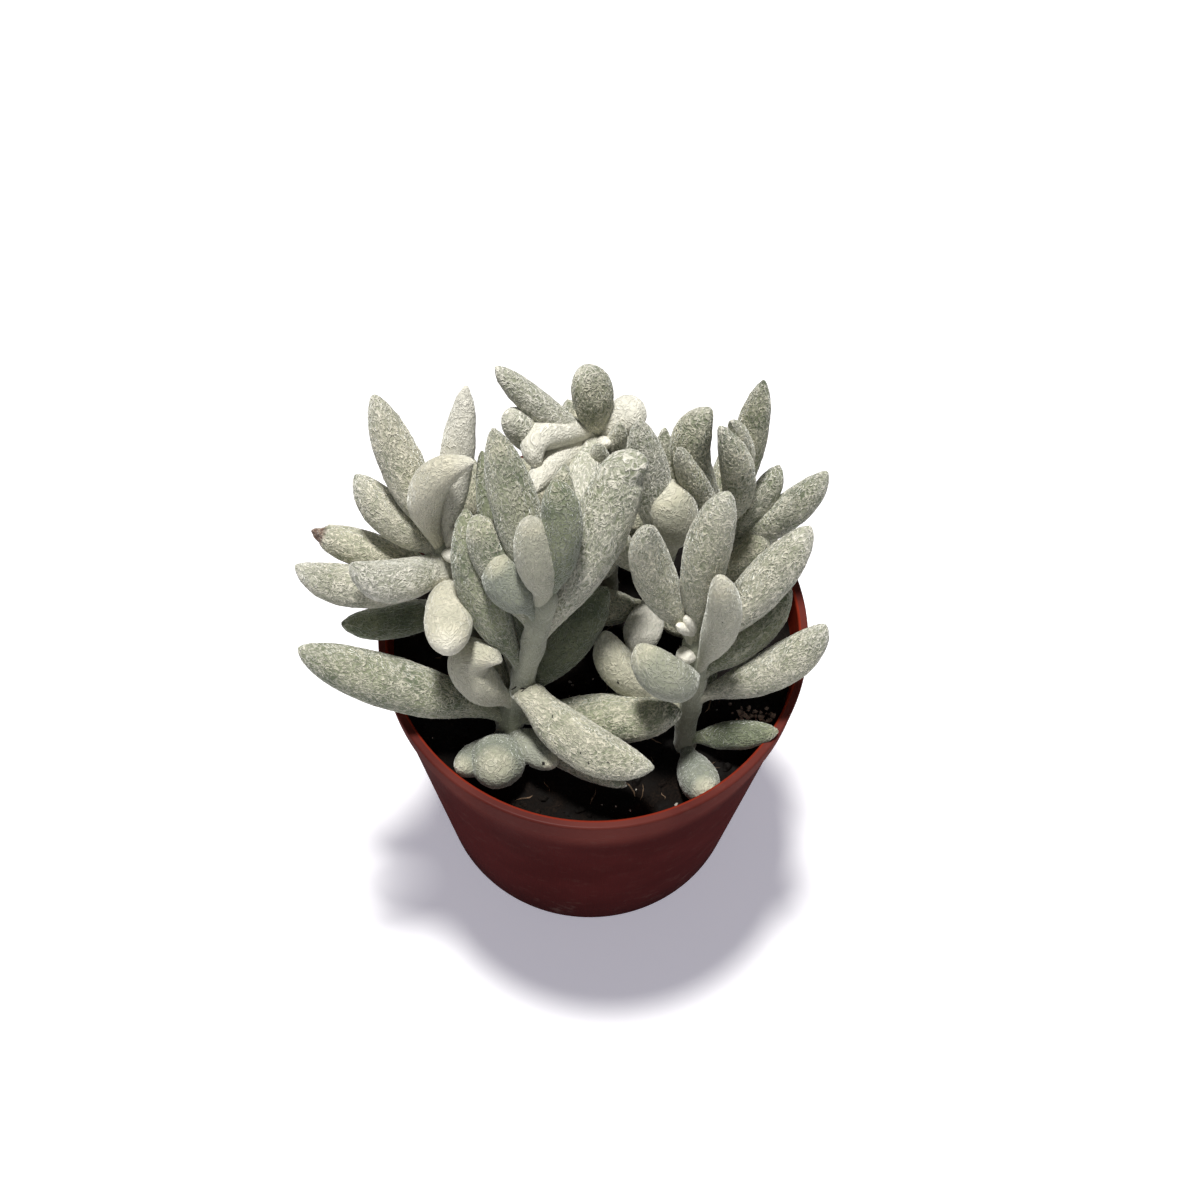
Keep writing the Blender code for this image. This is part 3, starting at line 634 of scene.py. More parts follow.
# Leaves, mostly as in the solids, and some aimed again by the photograph: height of the root up the stem,
# heading (degrees, anticlockwise from +X), rise above the level (degrees), length, width, then how far it
# curls up and sways from root to tip (degrees). Lengths are in millimetres.
LEAVES = {
    "stem_front_left": (
        (44, 115, 51, 38, 9.2, 0, 0), (24, 125, 56, 39, 9.0, 0, -30), (36, 134, 52, 29, 8.6, 0, 0),
        (46, 119, 74, 24, 9.0, 0, 0), (42, 152, 48, 17, 10.0, 30, 0), (44, 77, 70, 32, 8.0, 0, 20),
        (32, 53, 50, 46.5, 9.4, 0, 20), (8, 176, 24, 47, 11.0, 6, 0), (20, 327, -7, 33, 10.6, 20, 45),
        (8, 355, 12, 36, 10.4, 20, 0), (12, 151, 60, 27, 9.2, 18, -55), (2, 260, 38, 16.5, 10.6, 60, 0),
        (2, 231, 24, 17, 6.2, 50, 0), (3, 312, 24, 17, 7.0, 0, 0), (14, 46, 27, 29, 10.0, 0, 0),
        (28, 108, 38, 42, 7.4, 0, 0), (34, 77, 50, 37, 7.5, 0, 0), (14, 85, 30, 26, 9.0, 20, 0),
        (10, 130, 20, 18, 8.0, 20, 0), (3, 327.5, 14, 30, 5.6, 0, 0),
    ),
    "stem_front_right": (
        (28, 154, 70, 39, 8.8, 40, 0), (27, 74, 75, 43, 9.0, 0, -14), (20, 31, 85, 38, 7.6, 27, 16),
        (25, 34, 44, 36, 9.2, 0, 0), (18, 36, 26, 27, 8.8, 10, 0), (13, 13, 33, 34, 9.2, 45, 0),
        (20, 197, 52, 23, 8.8, 0, -90), (9, 154, 33, 26, 8.6, 20, -20), (1.5, 355, 22, 20.5, 6.0, 0, 0),
        (0.5, 287, 26, 17, 7.6, 60, 0), (8, 75, 12, 14, 7.5, 0, 0), (29, 200, 58, 9, 1.8, 0, 0),
        (29, 93, 70, 14, 4.0, 0, 0), (24, 205, 41, 5, 3.0, 0, 0), (29, 185, 72, 9, 1.9, 0, 0),
        (28, 150, 80, 8, 1.4, 0, 0),
    ),
    "stem_left": (
        (38, 128, 51, 36, 8.8, 0, 0), (39, 22, 76, 33.5, 8.2, -66, -55), (35, 154, 32, 25, 8.6, 0, 0),
        (28, 171, 16, 30, 7.6, 0, 0), (28, 191, 14, 33, 9.4, 30, 0), (35, 213, 28, 23.5, 10.6, 45, 0),
        (16, 198, 7, 26, 7.6, 0, 0), (6, 188, 40, 20, 6.6, 0, 0), (30, 272, 27, 27, 8.6, 0, 0),
        (38, 75, 59, 37, 6.6, 0, 0), (20, 112, 22, 26, 8.0, 20, 0), (26, 85, 24, 26, 8.0, 20, 0),
        (10, 80, 30, 24, 8.0, 20, 0), (24, 25, 35, 20, 8.5, 20, 0), (10, 350, 5, 20, 8.0, 25, 0),
        (38, 300, 45, 8, 3.0, 0, 0), (38, 20, 60, 9, 3.0, 0, 0),
    ),
    "stem_back": (
        (43, 174, 49, 31, 5.4, 0, -22), (44, 119, 76, 20, 7.4, 0, 0), (45, 20, 42, 12, 7.0, 0, 0),
        (45, 212, 27, 22, 7.4, -26, 39), (38.5, 188, 48, 28, 6.8, 40, 0), (44, 264, 8, 23, 9.0, 0, 25),
        (43.5, 230, 16, 22, 6.2, -8, 39), (32.5, 5, 80, 22, 4.6, 0, 0), (28, 249, 82, 25, 5.4, 0, 0),
        (28, 112, 15, 22, 8.0, 25, 0), (26, 65, 5, 20, 8.0, 25, 0), (18, 150, 15, 26, 8.5, 25, 0),
        (12, 88, 14, 24, 8.5, 25, 0), (30, 80, 0, 16, 7.0, 20, 0), (22, 0, 15, 18, 8.0, 25, 0),
        (16, 185, 20, 20, 8.5, 25, 0), (10, 130, 10, 24, 8.5, 25, 0), (10, 60, 10, 20, 8.5, 25, 0),
        (20, 265, 20, 17, 8.0, 20, 0), (44, 290, 50, 8, 3.0, 0, 0), (44, 30, 60, 8, 3.0, 0, 0),
    ),
    "stem_back_right": (
        (26, 67, 73, 40, 6.8, 0, 0), (28, 142, 87, 36, 5.8, -8, 22), (26, 186, 85, 38, 7.2, -25, -15),
        (30, 146, 75, 34, 9.0, 60, -39), (22, 177, 71, 36, 6.2, 0, 0), (20, 29, 60, 25, 6.4, 0, 0),
        (18, 10, 51, 33, 7.8, 10, 0), (12, 8, 60, 20, 7.2, 0, 35), (18, 85, 30, 24, 7.5, 25, 0),
        (10, 45, 15, 20, 7.5, 25, 0), (10, 100, 10, 20, 8.0, 25, 0), (6, 310, 12, 18, 7.5, 25, 0),
        (8, 0, 15, 17, 7.5, 25, 0),
    ),
    "stem_middle": (
        (26, 126, 71, 38, 8.4, 0, 0), (27, 118, 75, 20, 9.2, -30, 30), (13, 257, 13, 16, 7.8, 0, 0),
        (22, 156, 58, 31, 6.0, 0, -80), (20, 92, 64, 36, 5.6, 0, 0), (8, 345, 15, 15, 7.5, 25, 0),
        (10, 190, 20, 20, 8.0, 20, 0),
    ),
}

# How thin the felt is on the leaves where the green shows through, from 0 to 1
# On some leaves in shade it is raised so that the dark flesh stands in as painted shade
THIN_FELT_AND_PAINTED_SHADE = {
    "stem_front_left": {
        0: 0.25, 1: 0.50, 2: 0.25, 3: 0.28, 4: 0.35, 5: 0.65, 7: 0.40, 8: 0.08, 9: 0.35,
        11: 0.45, 12: 0.40, 14: 1.0, 15: 0.65, 16: 0.30},
    "stem_front_right": {
        0: 0.15, 1: 0.15, 3: 0.05, 4: 0.50, 5: 0.12, 6: 0.40, 7: 0.35, 8: 1.0, 9: 0.30, 10: 0.9},
    "stem_left": {
        0: 0.0, 1: 0.05, 2: 0.0, 3: 0.05, 4: 0.02, 5: 0.0, 6: 1.0, 7: 0.5, 8: 0.05, 9: 0.0, 14: 1.0},
    "stem_back": {0: 0.05, 1: 0.15, 2: 0.0, 3: 0.0, 4: 0.0, 5: 0.0, 6: 0.0, 7: 0.1, 8: 0.1},
    "stem_back_right": {0: 0.35, 3: 0.25, 5: 0.25, 6: 0.30},
    "stem_middle": {0: 0.12, 1: 0.20, 2: 0.0},
}
THIN_FELT_USUAL = 0.18
THIN_FELT_STEM = 0.62
NEAR_STEM = 0.26                # share of a leaf's length
THIN_NEAR_STEM = 0.45

# Leaves whose felt lies so close that they look smooth
SMOOTH_LEAVES = {
    "stem_front_left": (3, 4, 10, 11, 12, 13), "stem_front_right": (2, 6, 7, 9), "stem_left": (1, 7, 8, 9),
    "stem_back": (2, 3, 6), "stem_middle": (1, 2),
}

# How white (above 0) or grey (below 0) a leaf is
# Partly the felt's own tone, partly painted light on lit leaves and painted shade on leaves in shade
WHITENESS_AND_PAINTED_LIGHT = {
    "stem_front_left": {
        0: -0.4, 1: -0.4, 2: -0.4, 3: -0.4, 4: -1.0, 5: -0.9, 6: 0.6, 7: 0.3, 8: 0.1, 10: -0.3, 11: -1.0,
        12: -0.9, 13: -0.8, 14: -1.0, 15: -0.6, 16: -0.2},
    "stem_front_right": {
        0: 0.1, 1: 0.1, 2: -0.4, 3: 0.4, 4: -0.2, 5: 0.4, 6: -0.7, 7: 0.0, 8: -0.9, 9: -1.2},
    "stem_left": {0: 0.2, 1: -0.1, 2: 0.3, 3: 0.1, 4: 0.5, 5: 1.0, 6: -0.7, 7: -0.6, 8: -0.15, 9: 1.3},
    "stem_back": {0: 1.3, 1: 0.1, 2: 1.3, 3: 1.3, 4: 1.2, 5: 1.1, 6: 1.2, 7: 0.5, 8: 0.5},
    "stem_back_right": {3: 0.0, 5: 0.6, 6: 0.5}, "stem_middle": {0: 1.2, 1: -0.3, 2: 1.3, 3: 0.2, 4: 0.5},
}
WHITENESS_STEM = -0.6
TIP_FROM = 0.84                 # the tip's start and length, as shares of the leaf's length
TIP_LENGTH = 0.16
TIP_WHITENS = 0.8
TIP_EVENS_OUT = 0.4
WEAVE_USUAL = 0.80
WEAVE_SMOOTH = 0.34
WEAVE_STEM = 0.15
WEAVE_YOUNG = 0.1
WEAVE_FADES = 0.75              # towards the stem
DRIED_LEAF = ("stem_left", 3)
DRIED_FROM = 0.905
DRIED_EDGE = 0.012
DRIED_SHRINKS = 0.22
DRIED_GRAIN = 0.8 * MM
DRIED_CRUMPLE = 0.45 * MM
CRUMPLE_PULL = (1, 1, 0.6)

# How a leaf differs from a plain spindle: how flat its upper side is, how far its tip hooks towards that
# side as a share of its width, how bluntly it ends, how far the flat side is turned round it (degrees), and
# how much its fullest part lies towards the tip
LEAF_FORM_USUAL = (0.22, 0.10, 0.04, 0, 0.0)
LEAF_FORMS = {
    "stem_front_left": {
        0: (0.15, 0.04, 0.03, 0, 0.0), 2: (0.20, 0.10, 0.08, 0, 0.2), 3: (0.15, 0.06, -0.02, 0, 0.0),
        4: (0.20, 0.14, 0.03, 0, 0.0), 5: (0.15, 0.06, 0.08, 0, 0.45), 6: (0.15, 0.0, 0.24, 180, 0.1),
        7: (0.25, 0.14, 0.08, 30, 0.0), 8: (0.15, 0.06, 0.0, 0, 0.0), 9: (0.20, 0.20, 0.04, 0, 0.15),
        10: (0.15, 0.10, 0.0, 0, 0.0), 11: (0.10, 0.05, 0.10, 0, 0.2), 12: (0.10, 0.05, 0.10, 0, 0.2),
    },
    "stem_front_right": {
        0: (0.30, 0.12, 0.02, 0, -0.1), 1: (0.15, 0.05, 0.09, 0, 0.2), 2: (0.20, 0.05, 0.05, 0, 0.0),
        3: (0.20, 0.12, 0.07, -40, 0.1), 4: (0.20, 0.12, 0.07, -40, 0.0), 5: (0.30, 0.22, 0.07, -50, 0.1),
        6: (0.50, 0.26, 0.10, 0, 0.1), 7: (0.45, 0.22, 0.14, 0, 0.2), 9: (0.10, 0.05, 0.12, 0, 0.2),
        11: (0.0, 0.0, 0.22, 0, 0.4), 12: (0.0, 0.0, 0.28, 0, 0.4), 13: (0.0, 0.0, 0.22, 0, 0.2),
        14: (0.0, 0.0, 0.24, 0, 0.5),
    },
    "stem_left": {
        0: (0.20, 0.14, 0.04, 30, -0.1), 1: (0.20, 0.10, -0.03, 0, 0.0), 2: (0.30, 0.20, 0.06, 45, 0.1),
        3: (0.25, 0.10, 0.10, 30, 0.1), 4: (0.40, 0.30, 0.10, 55, 0.1), 5: (0.50, 0.30, 0.0, 55, 0.0),
        6: (0.30, 0.15, 0.08, 45, 0.1), 8: (0.10, 0.05, 0.16, 0, 0.0),
    },
    "stem_back": {
        0: (0.25, 0.10, 0.12, 40, 0.0), 1: (0.30, 0.0, 0.16, 0, 0.2), 2: (0.15, 0.05, 0.12, 0, 0.3),
        3: (0.20, 0.0, -0.02, 0, 0.1), 4: (0.15, 0.05, 0.16, 0, 0.3),
        5: (0.20, 0.10, 0.06, 0, 0.1),
    },
    "stem_back_right": {
        1: (0.30, 0.15, 0.04, 0, 0.0), 2: (0.30, 0.15, 0.04, 0, 0.1), 3: (0.30, 0.10, 0.04, 0, 0.4),
        5: (0.25, 0.18, 0.06, -45, 0.1), 6: (0.25, 0.20, 0.05, -45, 0.1),
    },
    "stem_middle": {1: (0.35, 0.0, 0.18, 0, 0.1), 4: (0.30, 0.15, 0.06, 0, 0.0)},
}

# Leaves that join their stem with a broad neck: how much of their width it gains at the root
BROAD_NECKS = {
    "stem_front_left": {3: 0.06, 8: 0.16}, "stem_left": {5: 0.26}, "stem_back": {5: 0.26}}
BROAD_NECK_LENGTH = 0.22

# Leaves whose end curls over: from which share of the length, by how much, and to which side (degrees)
CURLED_ENDS = {
    "stem_front_left": {6: (0.86, 90, 180), 10: (0.56, 135, -66)},
    "stem_back": {3: (0.64, 125, -8)},
}


def leaf_radius(share):
    """Half width of a leaf one unit wide: a narrow pinched neck, then a full spindle."""
    swell = (1 / (1 - LEAF_FULLEST) ** LEAF_TIP_POWER - LEAF_NECK) / LEAF_FULLEST
    pinch = 1 - NECK_PINCH * math.exp(-((share - NECK_PINCH_AT) / NECK_PINCH_AT) ** 2)
    return 0.5 * pinch * (1 - share) ** LEAF_TIP_POWER * (LEAF_NECK + swell * share)


def shape_leaf(points, share, width, form):
    """Flatten a leaf's upper side, let its belly bulge, hook its tip to the flat side and blunt it."""
    flatness, hook, blunt, turned, fuller = form
    swell = BLUNT_SCALE * (BLUNT_END - share) ** -blunt * (1 + fuller * (share - LEAF_FULLEST))
    points[:, :2] *= swell[:, None]
    flat_side = np.array((-math.sin(math.radians(turned)), math.cos(math.radians(turned))))
    depth = points[:, :2] @ flat_side
    change = np.where(depth > 0, -flatness * depth, BELLY_BULGE * flatness * depth)
    change += width * (BACK_ARCH * flatness * np.sin(math.pi * share) + hook * share ** 4)
    points[:, :2] += change[:, None] * flat_side


def curl_end(points, length, begins, curl, turned):
    """Curl a leaf's end over to one side, along an arc."""
    start = (begins - 0.5) * length
    radius = (1 - begins) * length / math.radians(curl)
    side = np.array((-math.sin(math.radians(turned)), math.cos(math.radians(turned))))
    depth = points[:, :2] @ side
    past = np.clip(points[:, 2] - start, 0, None) / radius
    points[:, :2] += (radius - (radius - depth) * np.cos(past) - depth)[:, None] * side
    points[:, 2] = np.where(past > 0, start + (radius - depth) * np.sin(past), points[:, 2])


def leaf_axes(heading, rise, curl, sway):
    """Turn from a leaf's own axes to the plant's: its Z runs to the tip, and it bends towards its Y."""
    h, e = math.radians(heading), math.radians(rise)
    ahead = Vector((math.cos(e) * math.cos(h), math.cos(e) * math.sin(h), math.sin(e)))
    above = Vector((-math.sin(e) * math.cos(h), -math.sin(e) * math.sin(h), math.cos(e)))
    beside = Vector((-math.sin(h), math.cos(h), 0))
    outward = (curl * above + sway * beside).normalized() if curl or sway else above
    return Matrix((outward.cross(ahead), outward, ahead)).transposed()


def keep_skin_values(piece, own_places, thin, white, dried, weave):
    """Keep what the felt reads: each point's place on its own straight leaf, and how its felt differs."""
    skin = piece.data.attributes.new("skin_place", "FLOAT_VECTOR", "POINT")
    skin.data.foreach_set("vector", np.asarray(own_places, dtype=np.float32).ravel())
    tone = piece.data.attributes.new("skin_tone", "FLOAT_COLOR", "POINT")
    values = np.stack([thin, white, dried, weave], axis=1)
    tone.data.foreach_set("color", values.astype(np.float32).ravel())


def dry_tip(points, share):
    """Shrink and crumple a leaf's tip, and say how dried it is at each point."""
    dried = np.clip((share - DRIED_FROM) / DRIED_EDGE, 0, 1)
    points[:, :2] *= (1 - DRIED_SHRINKS * dried)[:, None]
    crumple = np.array([lumps_at(Vector(point) / DRIED_GRAIN) for point in points])
    points += (DRIED_CRUMPLE * crumple * dried)[:, None] * np.array(CRUMPLE_PULL)
    return dried


def felt_on_leaf(stem, number, share, width):
    """How thin, how white and how coarsely woven a leaf's felt is at each point, with painted light and
    shade.
    """
    if width < YOUNG_WIDTH:
        return 0 * share, 1 + 0 * share, WEAVE_YOUNG + 0 * share
    near_stem = np.clip(1 - share / NEAR_STEM, 0, 1)
    thin = THIN_FELT_AND_PAINTED_SHADE[stem].get(number, THIN_FELT_USUAL) + THIN_NEAR_STEM * near_stem ** 1.5
    tip = np.clip((share - TIP_FROM) / TIP_LENGTH, 0, 1)
    white = WHITENESS_AND_PAINTED_LIGHT.get(stem, {}).get(number, 0) * (1 - TIP_EVENS_OUT * tip) + TIP_WHITENS * tip
    weave = WEAVE_SMOOTH if number in SMOOTH_LEAVES.get(stem, ()) else WEAVE_USUAL
    return thin, white, weave * (1 - WEAVE_FADES * near_stem)


def bow_leaf(leaf, length, bend):
    """Bow a straight leaf into an arc of the total bend, and say where its root end then lies."""
    if not bend:
        return Vector((0, 0, -0.5 * length))
    bow = leaf.modifiers.new("bow", "SIMPLE_DEFORM")
    bow.deform_method = "BEND"
    bow.deform_axis = "X"
    bow.angle = bend
    bpy.context.view_layer.objects.active = leaf
    bpy.ops.object.modifier_apply(modifier=bow.name)
    arc = length / bend
    return Vector((0, arc * (1 - math.cos(bend / 2)), -arc * math.sin(bend / 2)))


def run_down(leaf, share, root_end, down):
    """Draw a leaf's root end out into a tail that runs down inside its stem, so that it flows into it."""
    points = np.array([vertex.co for vertex in leaf.data.vertices])
    drawn = np.clip(1 - share / NECK_TAIL, 0, 1)[:, None] ** 2
    points = np.array(root_end) + (points - np.array(root_end)) * (1 - NECK_TAIL_NARROWS * drawn)
    points += NECK_RUN_DOWN * drawn * np.array(down)
    leaf.data.vertices.foreach_set("co", points.ravel())


def grow_leaf(master, stem, number, root):
    """One leaf, copied from the master: sized, shaped and bowed, and set with its neck in the stem."""
    _, heading, rise, length, width, curl, sway = LEAVES[stem][number]
    leaf = master.copy()
    leaf.data = master.data.copy()
    bpy.context.scene.collection.objects.link(leaf)
    size = np.array((width * MM, width * MM, length * MM))
    points = np.array([vertex.co for vertex in leaf.data.vertices]) * size
    share = points[:, 2] / (length * MM) + 0.5
    own_place = points + PATTERN_SHIFT * np.array((len(stem), number, heading)) / PATTERN_STEPS
    flare = 1 + NECK_FLARE * np.exp(-(share * length * MM / NECK_FLARE_LENGTH) ** 2)
    points[:, :2] *= flare[:, None]
    outwards = points[:, :2] / (np.linalg.norm(points[:, :2], axis=1, keepdims=True) + AXIS_GUARD)
    broad = BROAD_NECKS.get(stem, {}).get(number, 0) * width * MM
    broad = broad * np.exp(-(share / BROAD_NECK_LENGTH) ** 2)
    points[:, :2] += broad[:, None] * outwards * (share > 0)[:, None]
    shape_leaf(points, share, width * MM, LEAF_FORMS.get(stem, {}).get(number, LEAF_FORM_USUAL))
    dried = dry_tip(points, share) if (stem, number) == DRIED_LEAF else np.zeros(len(points))
    if number in CURLED_ENDS.get(stem, {}):
        curl_end(points, length * MM, *CURLED_ENDS[stem][number])
    leaf.data.vertices.foreach_set("co", points.ravel())
    thin, white, weave = felt_on_leaf(stem, number, share, width)
    keep_skin_values(leaf, own_place, thin, white, dried, weave)
    root_end = bow_leaf(leaf, length * MM, math.radians(math.hypot(curl, sway)))
    axes = leaf_axes(heading, rise, curl, sway)
    (x0, y0), (x1, y1), height, _ = STEMS[stem]
    run_down(leaf, share, root_end, axes.transposed() @ Vector((x0 - x1, y0 - y1, -height)).normalized())
    leaf.data.transform(Matrix.Translation(root - axes @ root_end) @ axes.to_4x4())
    return leaf


def grow_stem(stem):
    """The bare stem: upright in the soil, leaning above it, and swollen where a leaf runs down it."""
    (x0, y0), (x1, y1), height, radius = STEMS[stem]
    top = (height + STEM_ABOVE) * MM
    steps = round((top + STEM_DEPTH) / STEM_STEP)
    levels = [-STEM_DEPTH + (top + STEM_DEPTH) * k / steps for k in range(steps + 1)]
    tip, widens = STEM_TIP
    taper = [min(1, tip + widens * math.sqrt(max(0, top - level) / STEM_TAPER)) for level in levels]
    outline = [(0, levels[0])] + [(radius * MM * t, z) for t, z in zip(taper, levels)] + [(0, top)]
    bare = turn_outline(stem, outline, STEM_SIDES)
    points = np.array([vertex.co for vertex in bare.data.vertices])
    around = np.arctan2(points[:, 1], points[:, 0])
    none = np.zeros(len(points))
    own_place = points + PATTERN_SHIFT * len(stem)
    keep_skin_values(bare, own_place, none + THIN_FELT_STEM, none + WHITENESS_STEM, none, none + WEAVE_STEM)
    swell = np.zeros(len(points))
    for up, heading, _, _, width, _, _ in LEAVES[stem]:
        below = (points[:, 2] / MM - up + SWELL_BELOW) / SWELL_LENGTH
        side = np.clip(np.cos(around - math.radians(heading)), 0, 1)
        swell += SWELL_SHARE * width * np.exp(-below ** 2) * side
    spread_out = 1 + np.clip(swell, 0, SWELL_LIMIT) * MM / (radius * MM)
    points[:, :2] *= spread_out[:, None]
    share = np.clip(points[:, 2] / (height * MM), 0, None)
    points[:, 0] += MM * (x0 + (x1 - x0) * share)
    points[:, 1] += MM * (y0 + (y1 - y0) * share)
    points[:, 2] += SOIL_LEVEL
    bare.data.vertices.foreach_set("co", points.ravel())
    return bare


def soft_relief(piece, name, size, depth):
    """Raise a skin into soft unevenness of a given size, and apply it."""
    texture = bpy.data.textures.new(name, "CLOUDS")
    texture.noise_scale = size
    texture.noise_depth = 2
    relief = piece.modifiers.new(name, "DISPLACE")
    relief.texture = texture
    relief.texture_coords = "LOCAL"
    relief.strength = depth
    relief.mid_level = 0.5
    bpy.context.view_layer.objects.active = piece
    bpy.ops.object.modifier_apply(modifier=relief.name)


def new_group(name, takes, gives):
    """A node group with its named inputs and outputs."""
    group = bpy.data.node_groups.new(name, "ShaderNodeTree")
    for sockets, in_out in ((takes, "INPUT"), (gives, "OUTPUT")):
        for socket, kind in sockets.items():
            group.interface.new_socket(socket, in_out=in_out, socket_type="NodeSocket" + kind)
    return group, group.nodes.new("NodeGroupInput").outputs, group.nodes.new("NodeGroupOutput").inputs


def felt_weave_group():
    """Matted felt, as a group: how high its curled tufts stand, and how much of the flesh they cover."""
    group, given, result = new_group(
        "felt_weave", {"Place": "Vector", "Thinness": "Float", "Depth": "Float"},
        {"Cover": "Float", "Height": "Float"})
    drawn = add_node(group, "Mapping", Vector=given["Place"], Scale=(1, 1, 0.6)).outputs[0]
    curls = add_node(group, "TexNoise", Vector=drawn, Scale=720, Detail=1, Distortion=1.6).outputs["Fac"]
    ridges = maths(group, "ABSOLUTE", maths(group, "SUBTRACT", curls, 0.5))
    tufts = spread(group, ridges, 0.085, 0.005)
    broken = add_node(group, "TexNoise", Vector=drawn, Scale=1900, Detail=2).outputs["Fac"]
    patches = add_node(group, "TexNoise", Vector=given["Place"], Scale=190, Detail=3).outputs["Fac"]
    fine = maths(group, "MULTIPLY", spread(group, broken, 0.3, 0.7), 0.4)
    height = maths(group, "ADD", maths(group, "MULTIPLY", tufts, 0.6), fine)
    uneven = maths(group, "ADD", maths(group, "MULTIPLY", spread(group, patches, 0.3, 0.7), 0.35), 0.8)
    depth = maths(group, "MULTIPLY", given["Depth"], uneven)
    gaps = maths(group, "MULTIPLY", maths(group, "SUBTRACT", 1.0, height), depth)
    covered = maths(group, "SUBTRACT", 1.0, gaps)
    cover = maths(group, "SUBTRACT", covered, given["Thinness"], clamp=True)
    raised = maths(group, "MULTIPLY", height, maths(group, "ADD", given["Depth"], 0.25))
    group.links.new(cover, result["Cover"])
    group.links.new(raised, result["Height"])
    return group


def felt_colour_group():
    """Felt colour group: cream, whiter on young leaves, tips and as painted light, and grey as painted
    shade.
    """
    group, given, result = new_group("felt_colour", {"Whiteness": "Float"}, {"Colour": "Color"})
    felt = blend_colours(group, given["Whiteness"], FELT, FELT_WHITE)
    felt = blend_colours(group, maths(group, "MULTIPLY", given["Whiteness"], -1.0), felt, FELT_PAINTED_SHADE)
    group.links.new(felt, result["Colour"])
    return group


def felted_skin():
    """Leaf under white felt: flesh shows where it is thin, tips are whitest, and its tone holds painted
    light and shade.
    """
    material, tree, shader = new_material(
        "felted_leaf", Roughness=0.92, Sheen_Weight=0.75, Sheen_Roughness=0.30,
        Sheen_Tint=SHEEN_TINT, Specular_IOR_Level=0.2)
    place = add_node(tree, "Attribute", {"attribute_name": "skin_place"}).outputs["Vector"]
    tone = add_node(tree, "Attribute", {"attribute_name": "skin_tone"})
    tone_parts = add_node(tree, "SeparateColor", Color=tone.outputs["Color"]).outputs
    veil = maths(tree, "MULTIPLY", tone_parts["Red"], 0.75)
    weave = add_node(
        tree, "Group", {"node_tree": felt_weave_group()},
        Place=place, Thinness=veil, Depth=tone.outputs["Alpha"]).outputs
    mottle = add_node(tree, "TexNoise", Vector=place, Scale=140, Detail=3).outputs["Fac"]
    flesh = blend_colours(tree, spread(tree, mottle, 0.3, 0.7), FLESH_DEEP, FLESH)
    felt = add_node(tree, "Group", {"node_tree": felt_colours}, Whiteness=tone_parts["Green"])
    skin = blend_colours(tree, weave["Cover"], flesh, felt.outputs["Colour"])
    dry = blend_colours(tree, spread(tree, weave["Height"], 0.1, 0.9), DRIED_DEEP, DRIED)
    skin = blend_colours(tree, tone_parts["Blue"], skin, dry)
    tree.links.new(skin, shader.inputs["Base Color"])
    bump = add_node(tree, "Bump", Strength=0.9, Distance=FELT_RELIEF, Height=weave["Height"])
    tree.links.new(bump.outputs[0], shader.inputs["Normal"])
    return material


def outline_of_leaf():
    """The master leaf's outline, one unit long, with its rings closest together at the tip."""
    shares = [1 - (1 - k / LEAF_STEPS) ** RING_CROWDING for k in range(LEAF_STEPS)]
    return [(0, -0.5)] + [(leaf_radius(share), share - 0.5) for share in shares] + [(0, 0.5)]


master_leaf = turn_outline("master_leaf", outline_of_leaf(), LEAF_SIDES)
felt_colours = felt_colour_group()
skin_material = felted_skin()
plants = {}
for stem, ((x0, y0), (x1, y1), height, _) in STEMS.items():
    bare_stem = grow_stem(stem)
    grown = [bare_stem]
    for number, leaf_row in enumerate(LEAVES[stem]):
        up = leaf_row[0]
        root = Vector((x0 + (x1 - x0) * up / height, y0 + (y1 - y0) * up / height, up)) * MM
        grown.append(grow_leaf(master_leaf, stem, number, root + Vector((0, 0, SOIL_LEVEL))))
    bpy.ops.object.select_all(action="DESELECT")
    for part in grown:
        part.select_set(True)
    bpy.context.view_layer.objects.active = bare_stem
    bpy.ops.object.join()
    soft_relief(bare_stem, "soft_lumps", LUMP_SIZE, LUMP_DEPTH)
    soft_relief(bare_stem, "felt_nap", NAP_SIZE, NAP_DEPTH)
    bpy.ops.object.shade_smooth()
    bare_stem.data.materials.clear()
    bare_stem.data.materials.append(skin_material)
    finish_piece(bare_stem, "felted_" + stem, "felted_leaf", stem)
    plants[stem] = bare_stem
bpy.data.objects.remove(master_leaf)

# Scars and specks: where a leaf broke off the tallest stem a corky crack is left, and a few leaves carry
# a nick or dark specks of soil. Each is a small lump pressed into the skin where the photograph shows it.
PHOTO_SIZE = 1200
MARK_RISE = 0.45                # of a mark's width
CRACK_DARK = (0.012, 0.009, 0.007, 1)
SCAR_PALE = (0.360, 0.300, 0.150, 1)

# Each mark runs from one pixel to another, with its width in millimetres
DARK_MARKS = {
    "stem_front_left": (
        ((512, 688), (530, 690), 0.7), ((521, 693), (530, 686), 1.1), ((511, 690), (517, 686), 0.5),
        ((542, 761), (545, 765), 0.8), ((527, 763), (530, 766), 0.55), ((588, 761), (589, 765), 0.35),
        ((553, 714), (552, 719), 0.3), ((607, 762), (609, 763), 0.3), ((580, 752), (581, 754), 0.3),
    ),
    "stem_front_right": (((617, 681), (619, 684), 0.5), ((722, 622), (723, 623), 0.3)),
    "stem_left": (((307, 577), (304, 586), 0.6), ((322, 541), (327, 529), 0.7)),
}
PALE_MARKS = {
    "stem_front_left": (
        ((508, 686), (513, 695), 0.7), ((514, 685), (527, 685), 0.6), ((518, 641), (524, 649), 1.6)),
}


def seen_at(pixel, thing):
    """The point and normal of a piece that show at a pixel of the photograph."""
    step = camera.data.sensor_width / LENS / PHOTO_SIZE
    across = (pixel[0] - PHOTO_SIZE / 2) * step
    down = (pixel[1] - PHOTO_SIZE / 2) * step
    ray = camera.matrix_world.to_3x3() @ Vector((across, -down, -1))
    found, point, normal, _ = thing.ray_cast(camera.matrix_world.translation, ray.normalized())
    return (point, normal) if found else (None, None)


